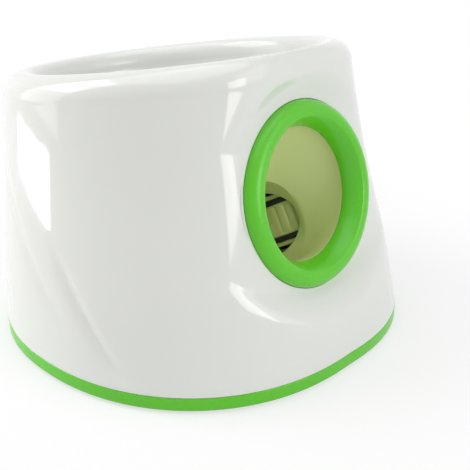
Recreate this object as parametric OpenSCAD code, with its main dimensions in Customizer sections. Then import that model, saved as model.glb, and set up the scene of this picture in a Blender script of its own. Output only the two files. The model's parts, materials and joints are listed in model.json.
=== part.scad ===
// Automatic dog ball launcher: a bowl on top drops a ball into a chamber, a swinging arm
// pushes it up the barrel, and two spinning wheels throw it out of the round mouth.
// Millimetres. +Z up, -Y is the side that the ball leaves from, origin on the floor
// under the middle of the base.

/* [Body] */
// Radius of the round base
base_r = 132.6; // [126:0.1:140]
// How far forward of the origin the base circle is centred
base_forward = 2.6; // [-4:0.1:4]
// Height of the top edge of the green base trim
trim_top = 11; // [9:0.5:14]
// Half width of the body under the rounded rim
rim_rx = 115.7; // [111:0.1:122]
// Half depth of the body under the rounded rim
rim_ry = 118.7; // [114:0.1:125]
// How far the rim is set back from the base
rim_back = 17.2; // [12:0.2:20]
// Height of the rim's crest at its centre
rim_z = 181.6; // [178:0.2:190]
// Slope of the rim, rising to the front
rim_tilt = 7; // [5:0.1:8]
// Radius that rounds the rim
rim_fillet = 14.7; // [12:0.1:16]
// Thickness of the shell's wall
shell_wall = 3; // [2:0.1:3.5]

/* [Sculpting] */
// How far the hips at the front corners stand out
hip_out = 5.5; // [0:0.5:7]
// Height at which the hips fade out
hip_top = 140; // [120:1:150]
// Height of the ledge under the mouth, at the middle of the front
ledge_z = 40; // [38:1:44]
// How far the ledge climbs from the middle of the front to the front corners
ledge_rise = 45; // [35:1:55]
// Height over which the ledge blends into the flat front
ledge_blend = 22; // [18:1:30]
// Depth of the diagonal groove on each flank
groove_depth = 2.4; // [0:0.1:3]

/* [Mouth] */
// How far the middle of the mouth lies in front of the origin
mouth_front = 99.7; // [98:0.1:102]
// Height of the middle of the mouth
mouth_z = 109.4; // [107:0.1:112]
// How far the mouth leans back
mouth_tilt = 13.4; // [12:0.1:15]
// Outer radius of the green mouth ring
ring_r = 58.3; // [57:0.1:60]
// Inner radius of the mouth ring, where the barrel's cup starts
ring_hole_r = 42; // [40:0.1:43]
// How far the ring's lip stands out of its own plane
ring_lip = 6; // [4:0.2:8]
// Depth of the green part inside the mouth
ring_depth = 7.7; // [6:0.1:9]

/* [Launching] */
// Radius of the ball
ball_r = 25.4; // [24.5:0.1:26]
// Clearance around the ball in the barrel and the chamber
ball_gap = 3.1; // [2.5:0.1:3.5]
// Angle at which the ball leaves, above the horizontal
launch_deg = 29; // [28:0.5:30]
// How far the wheels' axes lie in front of the origin
wheel_front = 48; // [47:0.5:49]
// Height of the wheels' middle
wheel_z = 69.3; // [68.5:0.1:70.5]
// Radius of a launch wheel
wheel_r = 27; // [26:0.1:28]
// Width of a launch wheel
wheel_w = 36.4; // [34:0.2:38]
// Distance from the middle of the barrel to a wheel's axis
wheel_x = 50; // [49.5:0.1:51]
// Width of each rubber tread ring
tread_w = 4; // [3:0.1:4.5]
// Height of a tread ring above the wheel's drum
tread_proud = 0.8; // [0.4:0.1:1.2]
// Distance of a tread ring from the wheel's middle
tread_at = 13; // [12:0.1:13.5]
// Radius of a drive motor
motor_r = 14; // [12:0.1:14.5]
// Length of a drive motor's can
motor_len = 36; // [30:0.5:38]
// Radius of the motor shafts
shaft_r = 1.5; // [1:0.1:2]
// Wall of the barrel and of the chamber
barrel_wall = 2.5; // [2:0.1:3]

/* [Feeding] */
// How far behind the wheels' axes the waiting ball sits, along the barrel
ball_wait = 42; // [41:0.5:43]
// Height of the chamber's top
chamber_top = 104; // [102:0.5:105]
// Distance of the arm's pivot behind the origin
pivot_y = 31; // [30.5:0.1:32]
// Height of the arm's pivot
pivot_z = 87; // [86:0.5:88]
// Length of the pushing arm
arm_len = 66; // [62:0.5:67]
// Angle of the resting arm from straight down
arm_rest = 16.6; // [15:0.1:17]
// Teeth on the arm's gear
gear_teeth = 20; // [16:1:22]
// Teeth on the motor's pinion
pinion_teeth = 14; // [13:1:16]
// Module of the two gears
gear_module = 1; // [0.9:0.01:1]
// Width of the arm's gear
gear_w = 6; // [4:0.5:6.5]

/* [Power] */
// Radius of one battery cell, C size
cell_r = 13.1; // [12.5:0.1:13.2]
// Length of one battery cell
cell_len = 50; // [49:0.5:50.5]
// Distance of the battery box behind the origin
box_y = 21.5; // [20.5:0.5:22]
// Radius of the button on the back
button_r = 9; // [7:0.5:10]
// Travel of the button
button_travel = 2; // [1.5:0.1:2.5]
// Height of the button
button_z = 98; // [95:1:102]
// Height of the rubber feet under the base
foot_h = 2; // [1.5:0.1:2.5]
// Radius of a rubber foot
foot_r = 9; // [7:0.5:11]

/* [Hidden] */
$fn = 64;

SEG = 96;            // steps around the body
RISE = 24;           // steps up the body's outside
INNER_RISE = 8;      // steps up the body's inside
fit_gap = 0.3;       // gap between parts that seat on each other
bore_gap = 0.05;     // radial clearance of a shaft that turns
screw_r = 1.5;
screw_head_r = 2.9;
screw_head_h = 1.8;
small_head_r = 2.5;
screw_gap = 0.3;     // clearance of a screw in the piece that it clamps
thread_gap = 0.1;    // clearance of a screw in the piece that it holds to
head_gap = 0.1;      // how far a screw's head lies under the surface
past = 1;            // how far a cut runs past a face

WHITE = [0.93, 0.93, 0.90];
CREAM = [0.90, 0.90, 0.80];
GREEN = [0.36, 0.74, 0.19];
BLACK = [0.06, 0.06, 0.06];
STEEL = [0.68, 0.69, 0.70];

bore_r = ball_r + ball_gap;
tube_r = bore_r + barrel_wall;
floor_z = foot_h;
plate_t = 3;
plate_top = floor_z + plate_t;
trim_wall = 4;
wait_y = -wheel_front + ball_wait * cos(launch_deg);
wait_z = wheel_z - ball_wait * sin(launch_deg);
chamber_floor = wait_z - ball_r;
chamber_floor_t = 3;

hip_turn = 65;       // direction of the hips' middle, from the front
hip_span = 95;       // how far round a hip reaches
hip_fade = 97;       // height over which the hips fade out
groove_turn = 52;    // where the groove starts at the foot, from the front
groove_lean = 0.606; // how far it runs round for each millimetre of height
groove_half = 9;
groove_fade = 40;
groove_foot = 25;
face_proud = 0.5;    // how far the flat front stands before the mouth's plane
face_top_in = 10;    // how far the flat front stays inside the rim's front
face_side = 20;      // the flat front ends here, towards the sides
face_soft = 0.03;    // how softly the flat front meets the round body
ledge_depth = 30;
ledge_turn = 50;     // where the ledge has climbed by ledge_rise, from the front

// ---------------------------------------------------------------- the body's outer form

function smooth(x) = let (c = min(1, max(0, x))) c * c * (3 - 2 * c);

// Angle between direction t and the front, 0 to 180.
function from_front(t) = let (d = abs(t - 270)) min(d, 360 - d);

// Height of the body's side where the rim's rounding starts.
function side_top(t) = rim_z - rim_fillet - rim_ry * sin(t) * tan(rim_tilt);

// The hips, and the diagonal groove that ends them towards the back.
function hip(d, z) =
    hip_out * pow(max(0, 1 - pow((d - hip_turn) / hip_span, 2)), 2)
    * smooth((hip_top - z) / hip_fade);
function groove(d, z) =
    -groove_depth * exp(-pow((d - groove_turn - groove_lean * z) / groove_half, 2))
    * smooth((hip_top - z) / groove_fade) * smooth((z - trim_top) / groove_foot);

// Y of the flat front that carries the mouth, and of the ledge under it.
function face_y(d, z) =
    min(-mouth_front + (z - mouth_z) * tan(mouth_tilt) - face_proud,
        face_top_in - rim_ry + rim_back)
    - ledge_depth * smooth((ledge_z + ledge_rise * pow(d / ledge_turn, 2) - z) / ledge_blend + 0.5);

function soft_min(a, b, k) = (a + b - sqrt(pow(a - b, 2) + k * k)) / 2;

// A point on the side, at share u of the height, inset by d_in.
function side_point(t, u, d_in) =
    let (z = trim_top + (side_top(t) - trim_top) * u)
    let (d = from_front(t))
    let (n = 2.2 - 0.2 * u)
    let (round_r = pow(pow(abs(cos(t)), n) + pow(abs(sin(t)), n), -1 / n))
    let (out = hip(d, z) + groove(d, z))
    let (rx = base_r + (rim_rx - base_r) * u + out)
    let (ry = base_r + (rim_ry - base_r) * u + out)
    let (cy = -base_forward * (1 - u) + rim_back * u)
    let (along_y = ry * sin(t) * round_r)
    let (flat = along_y < -face_side ? (face_y(d, z) - cy) / along_y : 9)
    let (k = soft_min(1, flat, face_soft))
    [(k * rx * round_r - d_in) * cos(t), cy + (k * ry * round_r - d_in) * sin(t), z];

// The crest of the rim, moved inwards by d_in and down by drop.
function crest_point(t, d_in, drop) = [
    (rim_rx - rim_fillet - d_in) * cos(t),
    rim_back + (rim_ry - rim_fillet - d_in) * sin(t),
    side_top(t) + rim_fillet - drop
];

function rim_point(t, a) =
    let (edge = side_point(t, 1, 0))
    let (top = crest_point(t, 0, 0))
    [top[0] + (edge[0] - top[0]) * cos(a), top[1] + (edge[1] - top[1]) * cos(a),
     edge[2] + rim_fillet * sin(a)];

function turn(i) = 360 * i / SEG;

// The outline of the base, inset by d_in.
function base_outline(d_in) =
    [for (i = [0:SEG - 1]) let (p = side_point(turn(i), 0, d_in)) [p[0], p[1]]];

// A closed skin through rings of equally many points, the last ring joined to the first.
module ring_skin(rings) {
    n = len(rings);
    m = len(rings[0]);
    points = [for (r = rings) each r];
    faces = [for (j = [0:n - 1]) for (i = [0:m - 1])
        let (a = j * m + i)
        let (b = j * m + (i + 1) % m)
        let (c = ((j + 1) % n) * m + (i + 1) % m)
        let (e = ((j + 1) % n) * m + i)
        each [[a, c, b], [a, e, c]]];
    polyhedron(points, faces, convexity = 8);
}

// ---------------------------------------------------------------- frames of reference

// The mouth's own frame: its plane is z = 0, its outside is +z, y points up.
module at_mouth() {
    translate([0, -mouth_front, mouth_z]) rotate([90 - mouth_tilt, 0, 0]) children();
}

// The wheels' frame: the ball leaves along -y, z is parallel to the wheels' axes.
module at_wheels() {
    translate([0, -wheel_front, wheel_z]) rotate([-launch_deg, 0, 0]) children();
}

module at_wheel(side) {
    at_wheels() translate([side * wheel_x, 0, 0]) children();
}

// A cylinder along +x from x0 to x1, at y, z.
module rod_x(x0, x1, y, z, r) {
    translate([x0, y, z]) rotate([0, 90, 0]) cylinder(h = x1 - x0, r = r);
}

// A cylinder along +y from y0 to y1, at x, z.
module rod_y(y0, y1, x, z, r) {
    translate([x, y0, z]) rotate([-90, 0, 0]) cylinder(h = y1 - y0, r = r);
}

module box(low, high) {
    translate(low) cube(high - low);
}

// A box given for the right side, or its mirror image for the left.
module side_box(side, low, high) {
    box([side > 0 ? low[0] : -high[0], low[1], low[2]],
        [side > 0 ? high[0] : -low[0], high[1], high[2]]);
}

// ---------------------------------------------------------------- body

// Y of the body's back at height z.
function back_at(z) = side_point(90, (z - trim_top) / (side_top(90) - trim_top), 0)[1];

cell_gap = 1;        // between the cells
cell_play = 0.5;     // between the cells and the box
cell_lift = 3;       // height of the cells over the base plate
box_wall = 2;
contact_room = 3;
box_x = cell_len + box_wall + contact_room;
box_d = 6 * cell_r + 2 * cell_gap + 2 * cell_play + 2 * box_wall;
cell_z = plate_top + cell_lift + cell_r;
box_top = cell_z + cell_r + cell_gap + box_wall;
door_in = 1;         // how far the door's opening stays inside the box's walls
door_x = box_x - box_wall - door_in;
door_y0 = box_y + box_wall + door_in;
door_y1 = box_y + box_d - box_wall - door_in;

post_gap = 2;        // between the battery box and a board post
post_edge = 1.5;     // between a board post and the base plate's edge
post_w = 6;
post_d = 8;
post_x = box_x + post_gap + post_w / 2;
post_y = -base_forward - post_d - post_edge
    + sqrt(pow(base_r - trim_wall - fit_gap, 2) - pow(post_x + post_w / 2, 2));
board_up = 20;       // how far the board reaches over the button's middle
board_down = 32;     // how far it reaches under it
post_top = button_z + board_up;
board_hole_zs = [post_top - 8, post_top - 38];

boss_turns = [35, 145, 215, 325];
boss_r = 4.5;
boss_top = 34;
boss_roof = 4;       // what is left over a boss's hole
boss_share = 0.1;    // share of the side's height at which a boss meets the wall
boss_sunk = 1.2;     // how far a boss sinks into the wall there
back_y = back_at(button_z);
jack_half = 6;
jack_len = 20;
jack_r = 5.5;
jack_pin_r = 2.8;
jack_over = 2;       // between the battery box and the power inlet
jack_z = box_top + jack_over + jack_half;
jack_y = back_at(jack_z);
lights_z = button_z + 24;
light_xs = [-12, 0, 12];
light_r = 2.2;
light_len = 6;
bezel_wall = 4;
bezel_lap = 2;       // how far the bezel's flange laps over the shell
bezel_r = button_r + bezel_wall;
bezel_seat_y = back_y - 1;
seat_back = 4.5;     // depth of the mouth ring's seat behind the ring's back
seat_wall = 2;       // wall of the seat outside the ring
seat_lap = 1;        // how far that wall reaches into the shell's front
ring_back = 2.3;     // depth of the ring's back behind the mouth's plane
collar_r = 49.2;
trim_ledge_z = plate_top + fit_gap;
trim_ledge_t = 2.7;
trim_ledge_w = 6;

function boss_at(t) = side_point(t, boss_share, shell_wall + boss_r - boss_sunk);

module main_shell() {
    side_rings = [for (j = [0:RISE])
        [for (i = [0:SEG - 1]) side_point(turn(i), j / RISE, 0)]];
    rim_rings = [for (a = [18:18:90]) [for (i = [0:SEG - 1]) rim_point(turn(i), a)]];
    lip = [[4, 1.2], [6, 4], [6.5, 12], [3.8, 12], [3, 5]];
    lip_rings = [for (e = lip) [for (i = [0:SEG - 1]) crest_point(turn(i), e[0], e[1])]];
    inner_rings = [for (j = [INNER_RISE:-1:0])
        [for (i = [0:SEG - 1]) let (p = side_point(turn(i), j / INNER_RISE, shell_wall))
            j == INNER_RISE ? [p[0], p[1], p[2] + 4] : p]];
    color(WHITE) difference() {
        union() {
            ring_skin(concat(side_rings, rim_rings, lip_rings, inner_rings));
            at_mouth() translate([0, 0, -ring_back - fit_gap - seat_back])
                cylinder(h = seat_back + seat_lap, r = ring_r + fit_gap + seat_wall);
            for (t = boss_turns) translate([boss_at(t)[0], boss_at(t)[1], trim_top])
                cylinder(h = boss_top - trim_top, r = boss_r);
        }
        at_mouth() translate([0, 0, -ring_back - fit_gap])
            cylinder(h = 30, r = ring_r + fit_gap);
        at_mouth() translate([0, 0, -40]) cylinder(h = 60, r = collar_r + fit_gap);
        rod_y(back_y - 20, back_y + 20, 0, button_z, bezel_r - bezel_lap + fit_gap);
        rod_y(bezel_seat_y, back_y + 20, 0, button_z, bezel_r + fit_gap);
        rod_y(jack_y - 20, jack_y + 20, 0, jack_z, jack_r + fit_gap);
        for (x = light_xs) rod_y(back_y - 20, back_y + 20, x, lights_z, light_r + fit_gap);
        for (t = boss_turns) translate([boss_at(t)[0], boss_at(t)[1], 0])
            cylinder(h = boss_top - boss_roof, r = screw_r + thread_gap);
    }
}

module base_trim() {
    color(GREEN) difference() {
        union() {
            translate([0, 0, floor_z]) linear_extrude(trim_top - floor_z - 0.2)
                difference() {
                    polygon(base_outline(0));
                    polygon(base_outline(trim_wall));
                }
            translate([0, 0, trim_ledge_z]) linear_extrude(trim_ledge_t)
                difference() {
                    polygon(base_outline(trim_wall - 0.5));
                    polygon(base_outline(trim_wall + trim_ledge_w));
                }
        }
        for (t = boss_turns) translate([boss_at(t)[0], boss_at(t)[1], 0])
            cylinder(h = 20, r = screw_r + screw_gap);
        for (s = [-1, 1])
            side_box(s, [post_x - post_w / 2 - fit_gap, post_y - fit_gap, plate_top],
                [post_x + post_w / 2 + fit_gap, post_y + post_d + fit_gap, trim_top]);
    }
}

foot_side = 50.6;    // how far a foot's middle lies inside the base's radius, sideways
foot_end = 60.6;     // and lengthways
foot_xys = [for (sx = [-1, 1], sy = [-1, 1]) [sx * (base_r - foot_side), sy * (base_r - foot_end)]];
foot_in = 1.3;
speaker_x = foot_side - base_r - 2;
speaker_y = box_y;
speaker_r = 16;
speaker_hole_r = 1.2;
speaker_step = 5;

module base_plate() {
    color(WHITE) difference() {
        union() {
            translate([0, 0, floor_z]) linear_extrude(plate_t)
                polygon(base_outline(trim_wall + fit_gap));
            for (s = [-1, 1]) side_box(s, [post_x - post_w / 2, post_y, floor_z + past],
                [post_x + post_w / 2, post_y + post_d, post_top]);
        }
        for (p = foot_xys) translate([p[0], p[1], floor_z - past])
            cylinder(h = past + foot_in, r = foot_r + fit_gap);
        for (t = boss_turns) translate([boss_at(t)[0], boss_at(t)[1], 0])
            cylinder(h = 20, r = screw_r + screw_gap);
        for (t = boss_turns) translate([boss_at(t)[0], boss_at(t)[1], floor_z - past])
            cylinder(h = past + screw_head_h + head_gap, r = screw_head_r + fit_gap);
        box([-door_x, door_y0, floor_z - past], [door_x, door_y1, plate_top + past]);
        for (i = [-2:2], j = [-2:2]) if (abs(i) + abs(j) < 4)
            translate([speaker_x + speaker_step * i, speaker_y + speaker_step * j, 0])
                cylinder(h = 20, r = speaker_hole_r);
        for (s = [-1, 1], z = board_hole_zs)
            rod_y(post_y - past, post_y + post_d + past, s * post_x, z, screw_r + thread_gap);
    }
}

// ---------------------------------------------------------------- bowl and mouth

bowl_gap = 6.9;
bowl_wall = 2.5;
bowl_floor_r = 74;
bowl_floor_y = 14;
bowl_floor_z = 138;
neck_h = 8;
neck_bottom = chamber_top + fit_gap;
neck_top = neck_bottom + neck_h;
bowl_low = 16;       // how far under the crest the bowl's side is aimed
bowl_lip = 2.9;      // how far under the crest its edge lies
lip_round = 1.3;

function bowl_floor_point(t, d_in, drop) = [
    (bowl_floor_r - d_in) * cos(t), bowl_floor_y + (bowl_floor_r - d_in) * sin(t),
    bowl_floor_z - bowl_floor_r * sin(t) * tan(rim_tilt) - drop
];

function neck_point(t, r, z) = [r * cos(t), wait_y + r * sin(t), z];

function neck_ring(r, z) = [for (i = [0:SEG - 1]) neck_point(turn(i), r, z)];

// Between two points, at share k.
function between(a, b, k) = a + (b - a) * k;

module hopper_bowl() {
    inner_in = bowl_gap + bowl_wall;
    rims = [[bowl_gap, bowl_lip + lip_round], [bowl_gap + bowl_wall * 0.3, bowl_lip],
        [bowl_gap + bowl_wall * 0.7, bowl_lip], [inner_in, bowl_lip + lip_round]];
    color(WHITE) ring_skin(concat(
        [neck_ring(tube_r, neck_bottom)],
        [for (k = [0:0.25:1]) [for (i = [0:SEG - 1]) let (t = turn(i))
            between(neck_point(t, tube_r, neck_top - 2),
                bowl_floor_point(t, -1.5, bowl_wall + 0.5), k)]],
        [for (k = [0.06, 0.14, 0.4, 0.7]) [for (i = [0:SEG - 1]) let (t = turn(i))
            between(bowl_floor_point(t, -bowl_wall, bowl_wall), crest_point(t, bowl_gap, bowl_low), k)]],
        [for (e = rims) [for (i = [0:SEG - 1]) crest_point(turn(i), e[0], e[1])]],
        [for (k = [0.7, 0.4, 0.14, 0.06]) [for (i = [0:SEG - 1]) let (t = turn(i))
            between(bowl_floor_point(t, 0, 0), crest_point(t, inner_in, bowl_low), k)]],
        [for (k = [1:-0.25:0]) [for (i = [0:SEG - 1]) let (t = turn(i))
            between(neck_point(t, bore_r, neck_top + 1), bowl_floor_point(t, 1.5, 0), k)]],
        [neck_ring(bore_r, neck_bottom)]
    ));
}

collar_len = 16;
cup_wall = 2.1;
lip_share = 0.46;    // share of the ring's width that its lip's radius takes

module mouth_ring() {
    lip_r = (ring_r - ring_hole_r) * lip_share;
    mid = ring_r - lip_r;
    arc = [for (a = [0:9:117]) [mid + lip_r * cos(a), ring_lip - lip_r + lip_r * sin(a)]];
    cup_out = ring_hole_r + cup_wall + fit_gap;
    color(GREEN) at_mouth() rotate_extrude($fn = 96) polygon(concat(
        [[collar_r, -ring_back], [ring_r, -ring_back]], arc,
        [[ring_hole_r + 1, -ring_depth + 3], [ring_hole_r, -ring_depth + 0.6],
         [ring_hole_r, -ring_depth], [cup_out, -ring_depth], [cup_out, -collar_len],
         [collar_r, -collar_len]]));
}

window_r = 22.5;
window_from = 15;    // the windows' cuts start here, from the barrel's middle
wheel_room = 2;
skin_gap = 0.1;      // extra clearance round a skin with flat sides

// A prism with so many flat sides that it passes for round, along z from z0 to z1.
module round_prism(z0, z1, r) {
    translate([0, 0, z0]) linear_extrude(z1 - z0)
        polygon([for (i = [0:SEG / 2 - 1]) [r * cos(turn(2 * i) + 1), r * sin(turn(2 * i) + 1)]]);
}

module wheel_clearance() {
    room = wheel_w / 2 + wheel_room;
    for (s = [-1, 1]) at_wheel(s) round_prism(-room, room, wheel_r + wheel_room);
    for (s = [-1, 1]) at_wheels() rotate([0, s * 90, 0]) round_prism(window_from, wheel_x, window_r);
}

funnel_end = 26;     // where the funnel meets the straight barrel, in front of the wheels
funnel_top = -collar_len - fit_gap;

// A point of the mouth's frame and one of the wheels' frame, in the part's own frame.
function mouth_point(x, y, z) = [x, -mouth_front + y * sin(mouth_tilt) - z * cos(mouth_tilt),
    mouth_z + y * cos(mouth_tilt) + z * sin(mouth_tilt)];
function wheels_point(x, y, z) = [x, -wheel_front + y * cos(launch_deg) + z * sin(launch_deg),
    wheel_z - y * sin(launch_deg) + z * cos(launch_deg)];

function mouth_circle(z, r) =
    [for (i = [0:SEG / 2 - 1]) let (t = turn(2 * i)) mouth_point(r * cos(t), r * sin(t), z)];
function barrel_circle(y, r) =
    [for (i = [0:SEG / 2 - 1]) let (t = turn(2 * i)) wheels_point(r * cos(t), y, r * sin(t))];

module launch_barrel() {
    cup_start = -ring_depth - fit_gap;
    cup_r = ring_hole_r + cup_wall;
    color(CREAM) difference() {
        ring_skin([
            barrel_circle(ball_wait, tube_r), barrel_circle(-funnel_end, tube_r),
            mouth_circle(funnel_top, cup_r), mouth_circle(cup_start, cup_r),
            mouth_circle(cup_start, ring_hole_r), mouth_circle(funnel_top, ring_hole_r),
            barrel_circle(-funnel_end, bore_r), barrel_circle(ball_wait, bore_r)
        ]);
        translate([0, wait_y, 0]) round_prism(-past, rim_z, tube_r + fit_gap + skin_gap);
        wheel_clearance();
    }
}

// ---------------------------------------------------------------- chamber and feed

slot_w = 18;
slot_low = 15;
slot_top = 86;
gear_slot_low = 72;
gear_slot_top = 100.5;
gear_slot_x = 16;
pad_y = 22;
pad_sunk = 20;       // the pads start this far behind the chamber's middle
pad_x0 = 10.5;
pad_x1 = 26;
pad_low = 64;
pad_top = 100;
ear_r = 6;
ear_t = 4;
ear_turns = [20, 160, 270];
ear_reach = tube_r + 4;
lever_y = wait_y + 6;
lever_w = 5;
lever_t = 1;
lever_len = 24;
lever_lean = 32;
lever_gap = 1;       // between the lever and the edges of its slot
lever_eye_r = 2;
pin_r = 1;
lever_pin_x = -38;
lever_pin_z = 66;
pin_block = 3;       // thickness of the block that holds the lever's pin
pin_block_y = lever_y + lever_w / 2 + 2.5;

function ear_at(t) = [ear_reach * cos(t), wait_y + ear_reach * sin(t)];

module ball_chamber() {
    color(CREAM) difference() {
        union() {
            translate([0, wait_y, plate_top]) cylinder(h = chamber_top - plate_top, r = tube_r);
            for (s = [-1, 1])
                side_box(s, [pad_x0, wait_y + pad_sunk, pad_low], [pad_x1, pad_y, pad_top]);
            for (t = ear_turns) translate([ear_at(t)[0], ear_at(t)[1], plate_top])
                cylinder(h = ear_t, r = ear_r);
            box([lever_pin_x - 6, pin_block_y, lever_pin_z - 14],
                [-25, pin_block_y + pin_block, lever_pin_z + 8]);
        }
        translate([0, wait_y, chamber_floor]) cylinder(h = 120, r = bore_r);
        translate([0, wait_y, plate_top - past])
            cylinder(h = chamber_floor - plate_top + past - chamber_floor_t, r = bore_r);
        at_wheels() rod_y(-90, ball_wait, 0, 0, bore_r);
        box([-slot_w / 2, 0, slot_low], [slot_w / 2, 60, slot_top]);
        box([-slot_w / 2, wait_y + 5, gear_slot_low], [gear_slot_x, 60, gear_slot_top]);
        box([-40, lever_y - lever_w / 2 - lever_gap, 38],
            [-20, lever_y + lever_w / 2 + lever_gap, lever_pin_z + 6]);
        rod_y(lever_y, pin_block_y + pin_block + past, lever_pin_x, lever_pin_z, pin_r);
        for (t = ear_turns) translate([ear_at(t)[0], ear_at(t)[1], 0])
            cylinder(h = 20, r = screw_r + thread_gap);
        for (s = [-1, 1])
            rod_y(pad_y - 6, pad_y + past, s * bracket_screw_x, bracket_screw_z, screw_r + thread_gap);
    }
}

arm_w = 12;
arm_t = 6;
feed_shaft_r = 2.5;
cheek_x = 17;
cheek_t = 3;
bracket_low = 66;
bracket_top = 100;
bracket_screw_x = 23;
bracket_screw_z = 94;
bracket_y = pad_y + fit_gap;
screw_len = 8;
gear_x = arm_w / 2 + 1;
gear_play = 0.15;
tooth_play = 0.35;
pinion_shaft_r = 2;
gearbox_len = 20;
gearbox_front = 12;
gearbox_back = 20;
gearbox_low = 16;
gearbox_high = 12;
bush_wall = 1.5;
pusher_side = 1.5;   // how far the pusher stands out beside the arm
pusher_len = 26;
pusher_t = 4;
arm_hub_r = 6;
flush = 0.2;         // keeps faces of one piece out of each other's plane
pinion_far = gear_module * (gear_teeth + pinion_teeth) / 2 + gear_play;
pinion_drop = 20;
pinion_y = pivot_y + pinion_far * cos(pinion_drop);
pinion_z = pivot_z - pinion_far * sin(pinion_drop);
bracket_back = pinion_y + 14;

module feed_arm() {
    color(CREAM) difference() {
        union() {
            rod_x(-arm_w / 2, arm_w / 2, pivot_y, pivot_z, arm_hub_r);
            translate([0, pivot_y, pivot_z]) rotate([-arm_rest, 0, 0]) {
                box([-arm_w / 2 + flush, -arm_t / 2 + 2 * flush, -arm_len + 2 * flush],
                    [arm_w / 2 - flush, arm_t / 2, -feed_shaft_r]);
                box([-arm_w / 2 - pusher_side, -arm_t / 2, -arm_len],
                    [arm_w / 2 + pusher_side, pusher_t - arm_t / 2, pusher_len - arm_len]);
            }
        }
        rod_x(-30, 30, pivot_y, pivot_z, feed_shaft_r);
    }
}

// Involute gear outline: pitch angle share, flank by the roll of the base circle.
function flank_angle(r, r_base) =
    let (a = acos(min(1, r_base / r))) tan(a) * 180 / PI - a;

module gear_2d(teeth, m, backlash) {
    pitch = m * teeth / 2;
    r_base = pitch * cos(20);
    r_tip = pitch + 0.85 * m;
    r_root = pitch - 1.2 * m;
    half = 90 / teeth - backlash + flank_angle(pitch, r_base);
    steps = [0, 0.35, 0.7, 1];
    r_low = max(r_base, r_root);
    flank = [for (k = steps) let (r = r_low + (r_tip - r_low) * k)
        [r, half - flank_angle(r, r_base)]];
    tooth = concat([[r_root, half + 0.6]], flank, [for (k = [3:-1:0]) [flank[k][0], -flank[k][1]]],
        [[r_root, -half - 0.6]]);
    polygon([for (i = [0:teeth - 1]) for (p = tooth)
        let (a = 360 * i / teeth - p[1]) [p[0] * cos(a), p[0] * sin(a)]]);
}

module feed_shaft() {
    color(STEEL) rod_x(-cheek_x - cheek_t - 2, cheek_x + cheek_t + 2, pivot_y, pivot_z, feed_shaft_r);
}

module feed_gear() {
    color(WHITE) difference() {
        translate([gear_x, pivot_y, pivot_z]) rotate([0, 90, 0]) rotate([0, 0, 90 - pinion_drop])
            linear_extrude(gear_w) gear_2d(gear_teeth, gear_module, tooth_play);
        rod_x(-30, 30, pivot_y, pivot_z, feed_shaft_r);
    }
}

module feed_pinion() {
    color(STEEL) union() {
        translate([gear_x - 1, pinion_y, pinion_z]) rotate([0, 90, 0])
            rotate([0, 0, 90 - pinion_drop + 180 + 180 / pinion_teeth])
            linear_extrude(gear_w + 2) gear_2d(pinion_teeth, gear_module, tooth_play);
        rod_x(gear_x, cheek_x + cheek_t + 5, pinion_y, pinion_z, pinion_shaft_r);
    }
}

feed_can_r = 12;
feed_can_len = 30;

module feed_motor() {
    x0 = cheek_x + cheek_t;
    color(STEEL) difference() {
        union() {
            box([x0, pinion_y - gearbox_front, pinion_z - gearbox_low],
                [x0 + gearbox_len, pinion_y + gearbox_back, pinion_z + gearbox_high]);
            rod_x(x0 + gearbox_len - 1, x0 + gearbox_len + feed_can_len,
                pinion_y + 5, pinion_z - 2, feed_can_r);
        }
        rod_x(x0 - 1, x0 + 6, pinion_y, pinion_z, pinion_shaft_r + bore_gap);
    }
}

module feed_bracket() {
    x1 = cheek_x + cheek_t;
    color(WHITE) difference() {
        union() {
            for (s = [-1, 1])
                side_box(s, [cheek_x, bracket_y, bracket_low], [x1, bracket_back, bracket_top]);
            for (s = [-1, 1])
                side_box(s, [cheek_x, bracket_y, bracket_low], [pad_x1, bracket_y + cheek_t, bracket_top]);
            box([-x1, bracket_back - cheek_t, bracket_low], [x1, bracket_back, bracket_top]);
        }
        rod_x(-30, 30, pivot_y, pivot_z, feed_shaft_r + bush_wall);
        rod_x(0, 30, pinion_y, pinion_z, pinion_shaft_r + 2.5);
        for (s = [-1, 1])
            rod_y(pad_y, pad_y + 6, s * bracket_screw_x, bracket_screw_z, screw_r + thread_gap);
    }
}

module feed_bushes() {
    color(BLACK) for (s = [-1, 1]) difference() {
        translate([s * (cheek_x + cheek_t / 2), 0, 0])
            rod_x(-cheek_t / 2, cheek_t / 2, pivot_y, pivot_z, feed_shaft_r + bush_wall);
        rod_x(-30, 30, pivot_y, pivot_z, feed_shaft_r + bore_gap);
    }
}

module ball_sensor_lever() {
    color(STEEL) difference() {
        union() {
            rod_y(lever_y - lever_w / 2, lever_y + lever_w / 2, lever_pin_x, lever_pin_z, lever_eye_r);
            translate([lever_pin_x, lever_y, lever_pin_z]) rotate([0, -lever_lean, 0])
                box([-lever_t / 2, -lever_w / 2, -lever_len], [lever_t / 2, lever_w / 2, 0]);
        }
        rod_y(lever_y - 10, lever_y + 10, lever_pin_x, lever_pin_z, pin_r + bore_gap);
    }
}

module sensor_pin() {
    color(STEEL) rod_y(lever_y - lever_w / 2 - 1.5, pin_block_y + pin_block, lever_pin_x,
        lever_pin_z, pin_r);
}

module sensor_switch() {
    color(BLACK) difference() {
        box([lever_pin_x - 7, lever_y - 4.7, 40], [lever_pin_x - 1, lever_y + 4.7, 63]);
        box([lever_pin_x - 3, lever_y - 3, 30], [lever_pin_x, lever_y + 3, 56]);
    }
}

// ---------------------------------------------------------------- wheels

hub_r = 6;

drum_r = wheel_r - tread_proud;
drum_wall = 6;
web_half = 4;        // half the thickness of the disc inside the drum
tread_in = 2.5;      // how deep a tread ring sits in the drum
flute_r = 1.2;
flute_out = 0.4;     // how far a flute's axis lies outside the drum
flutes = 24;

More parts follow.
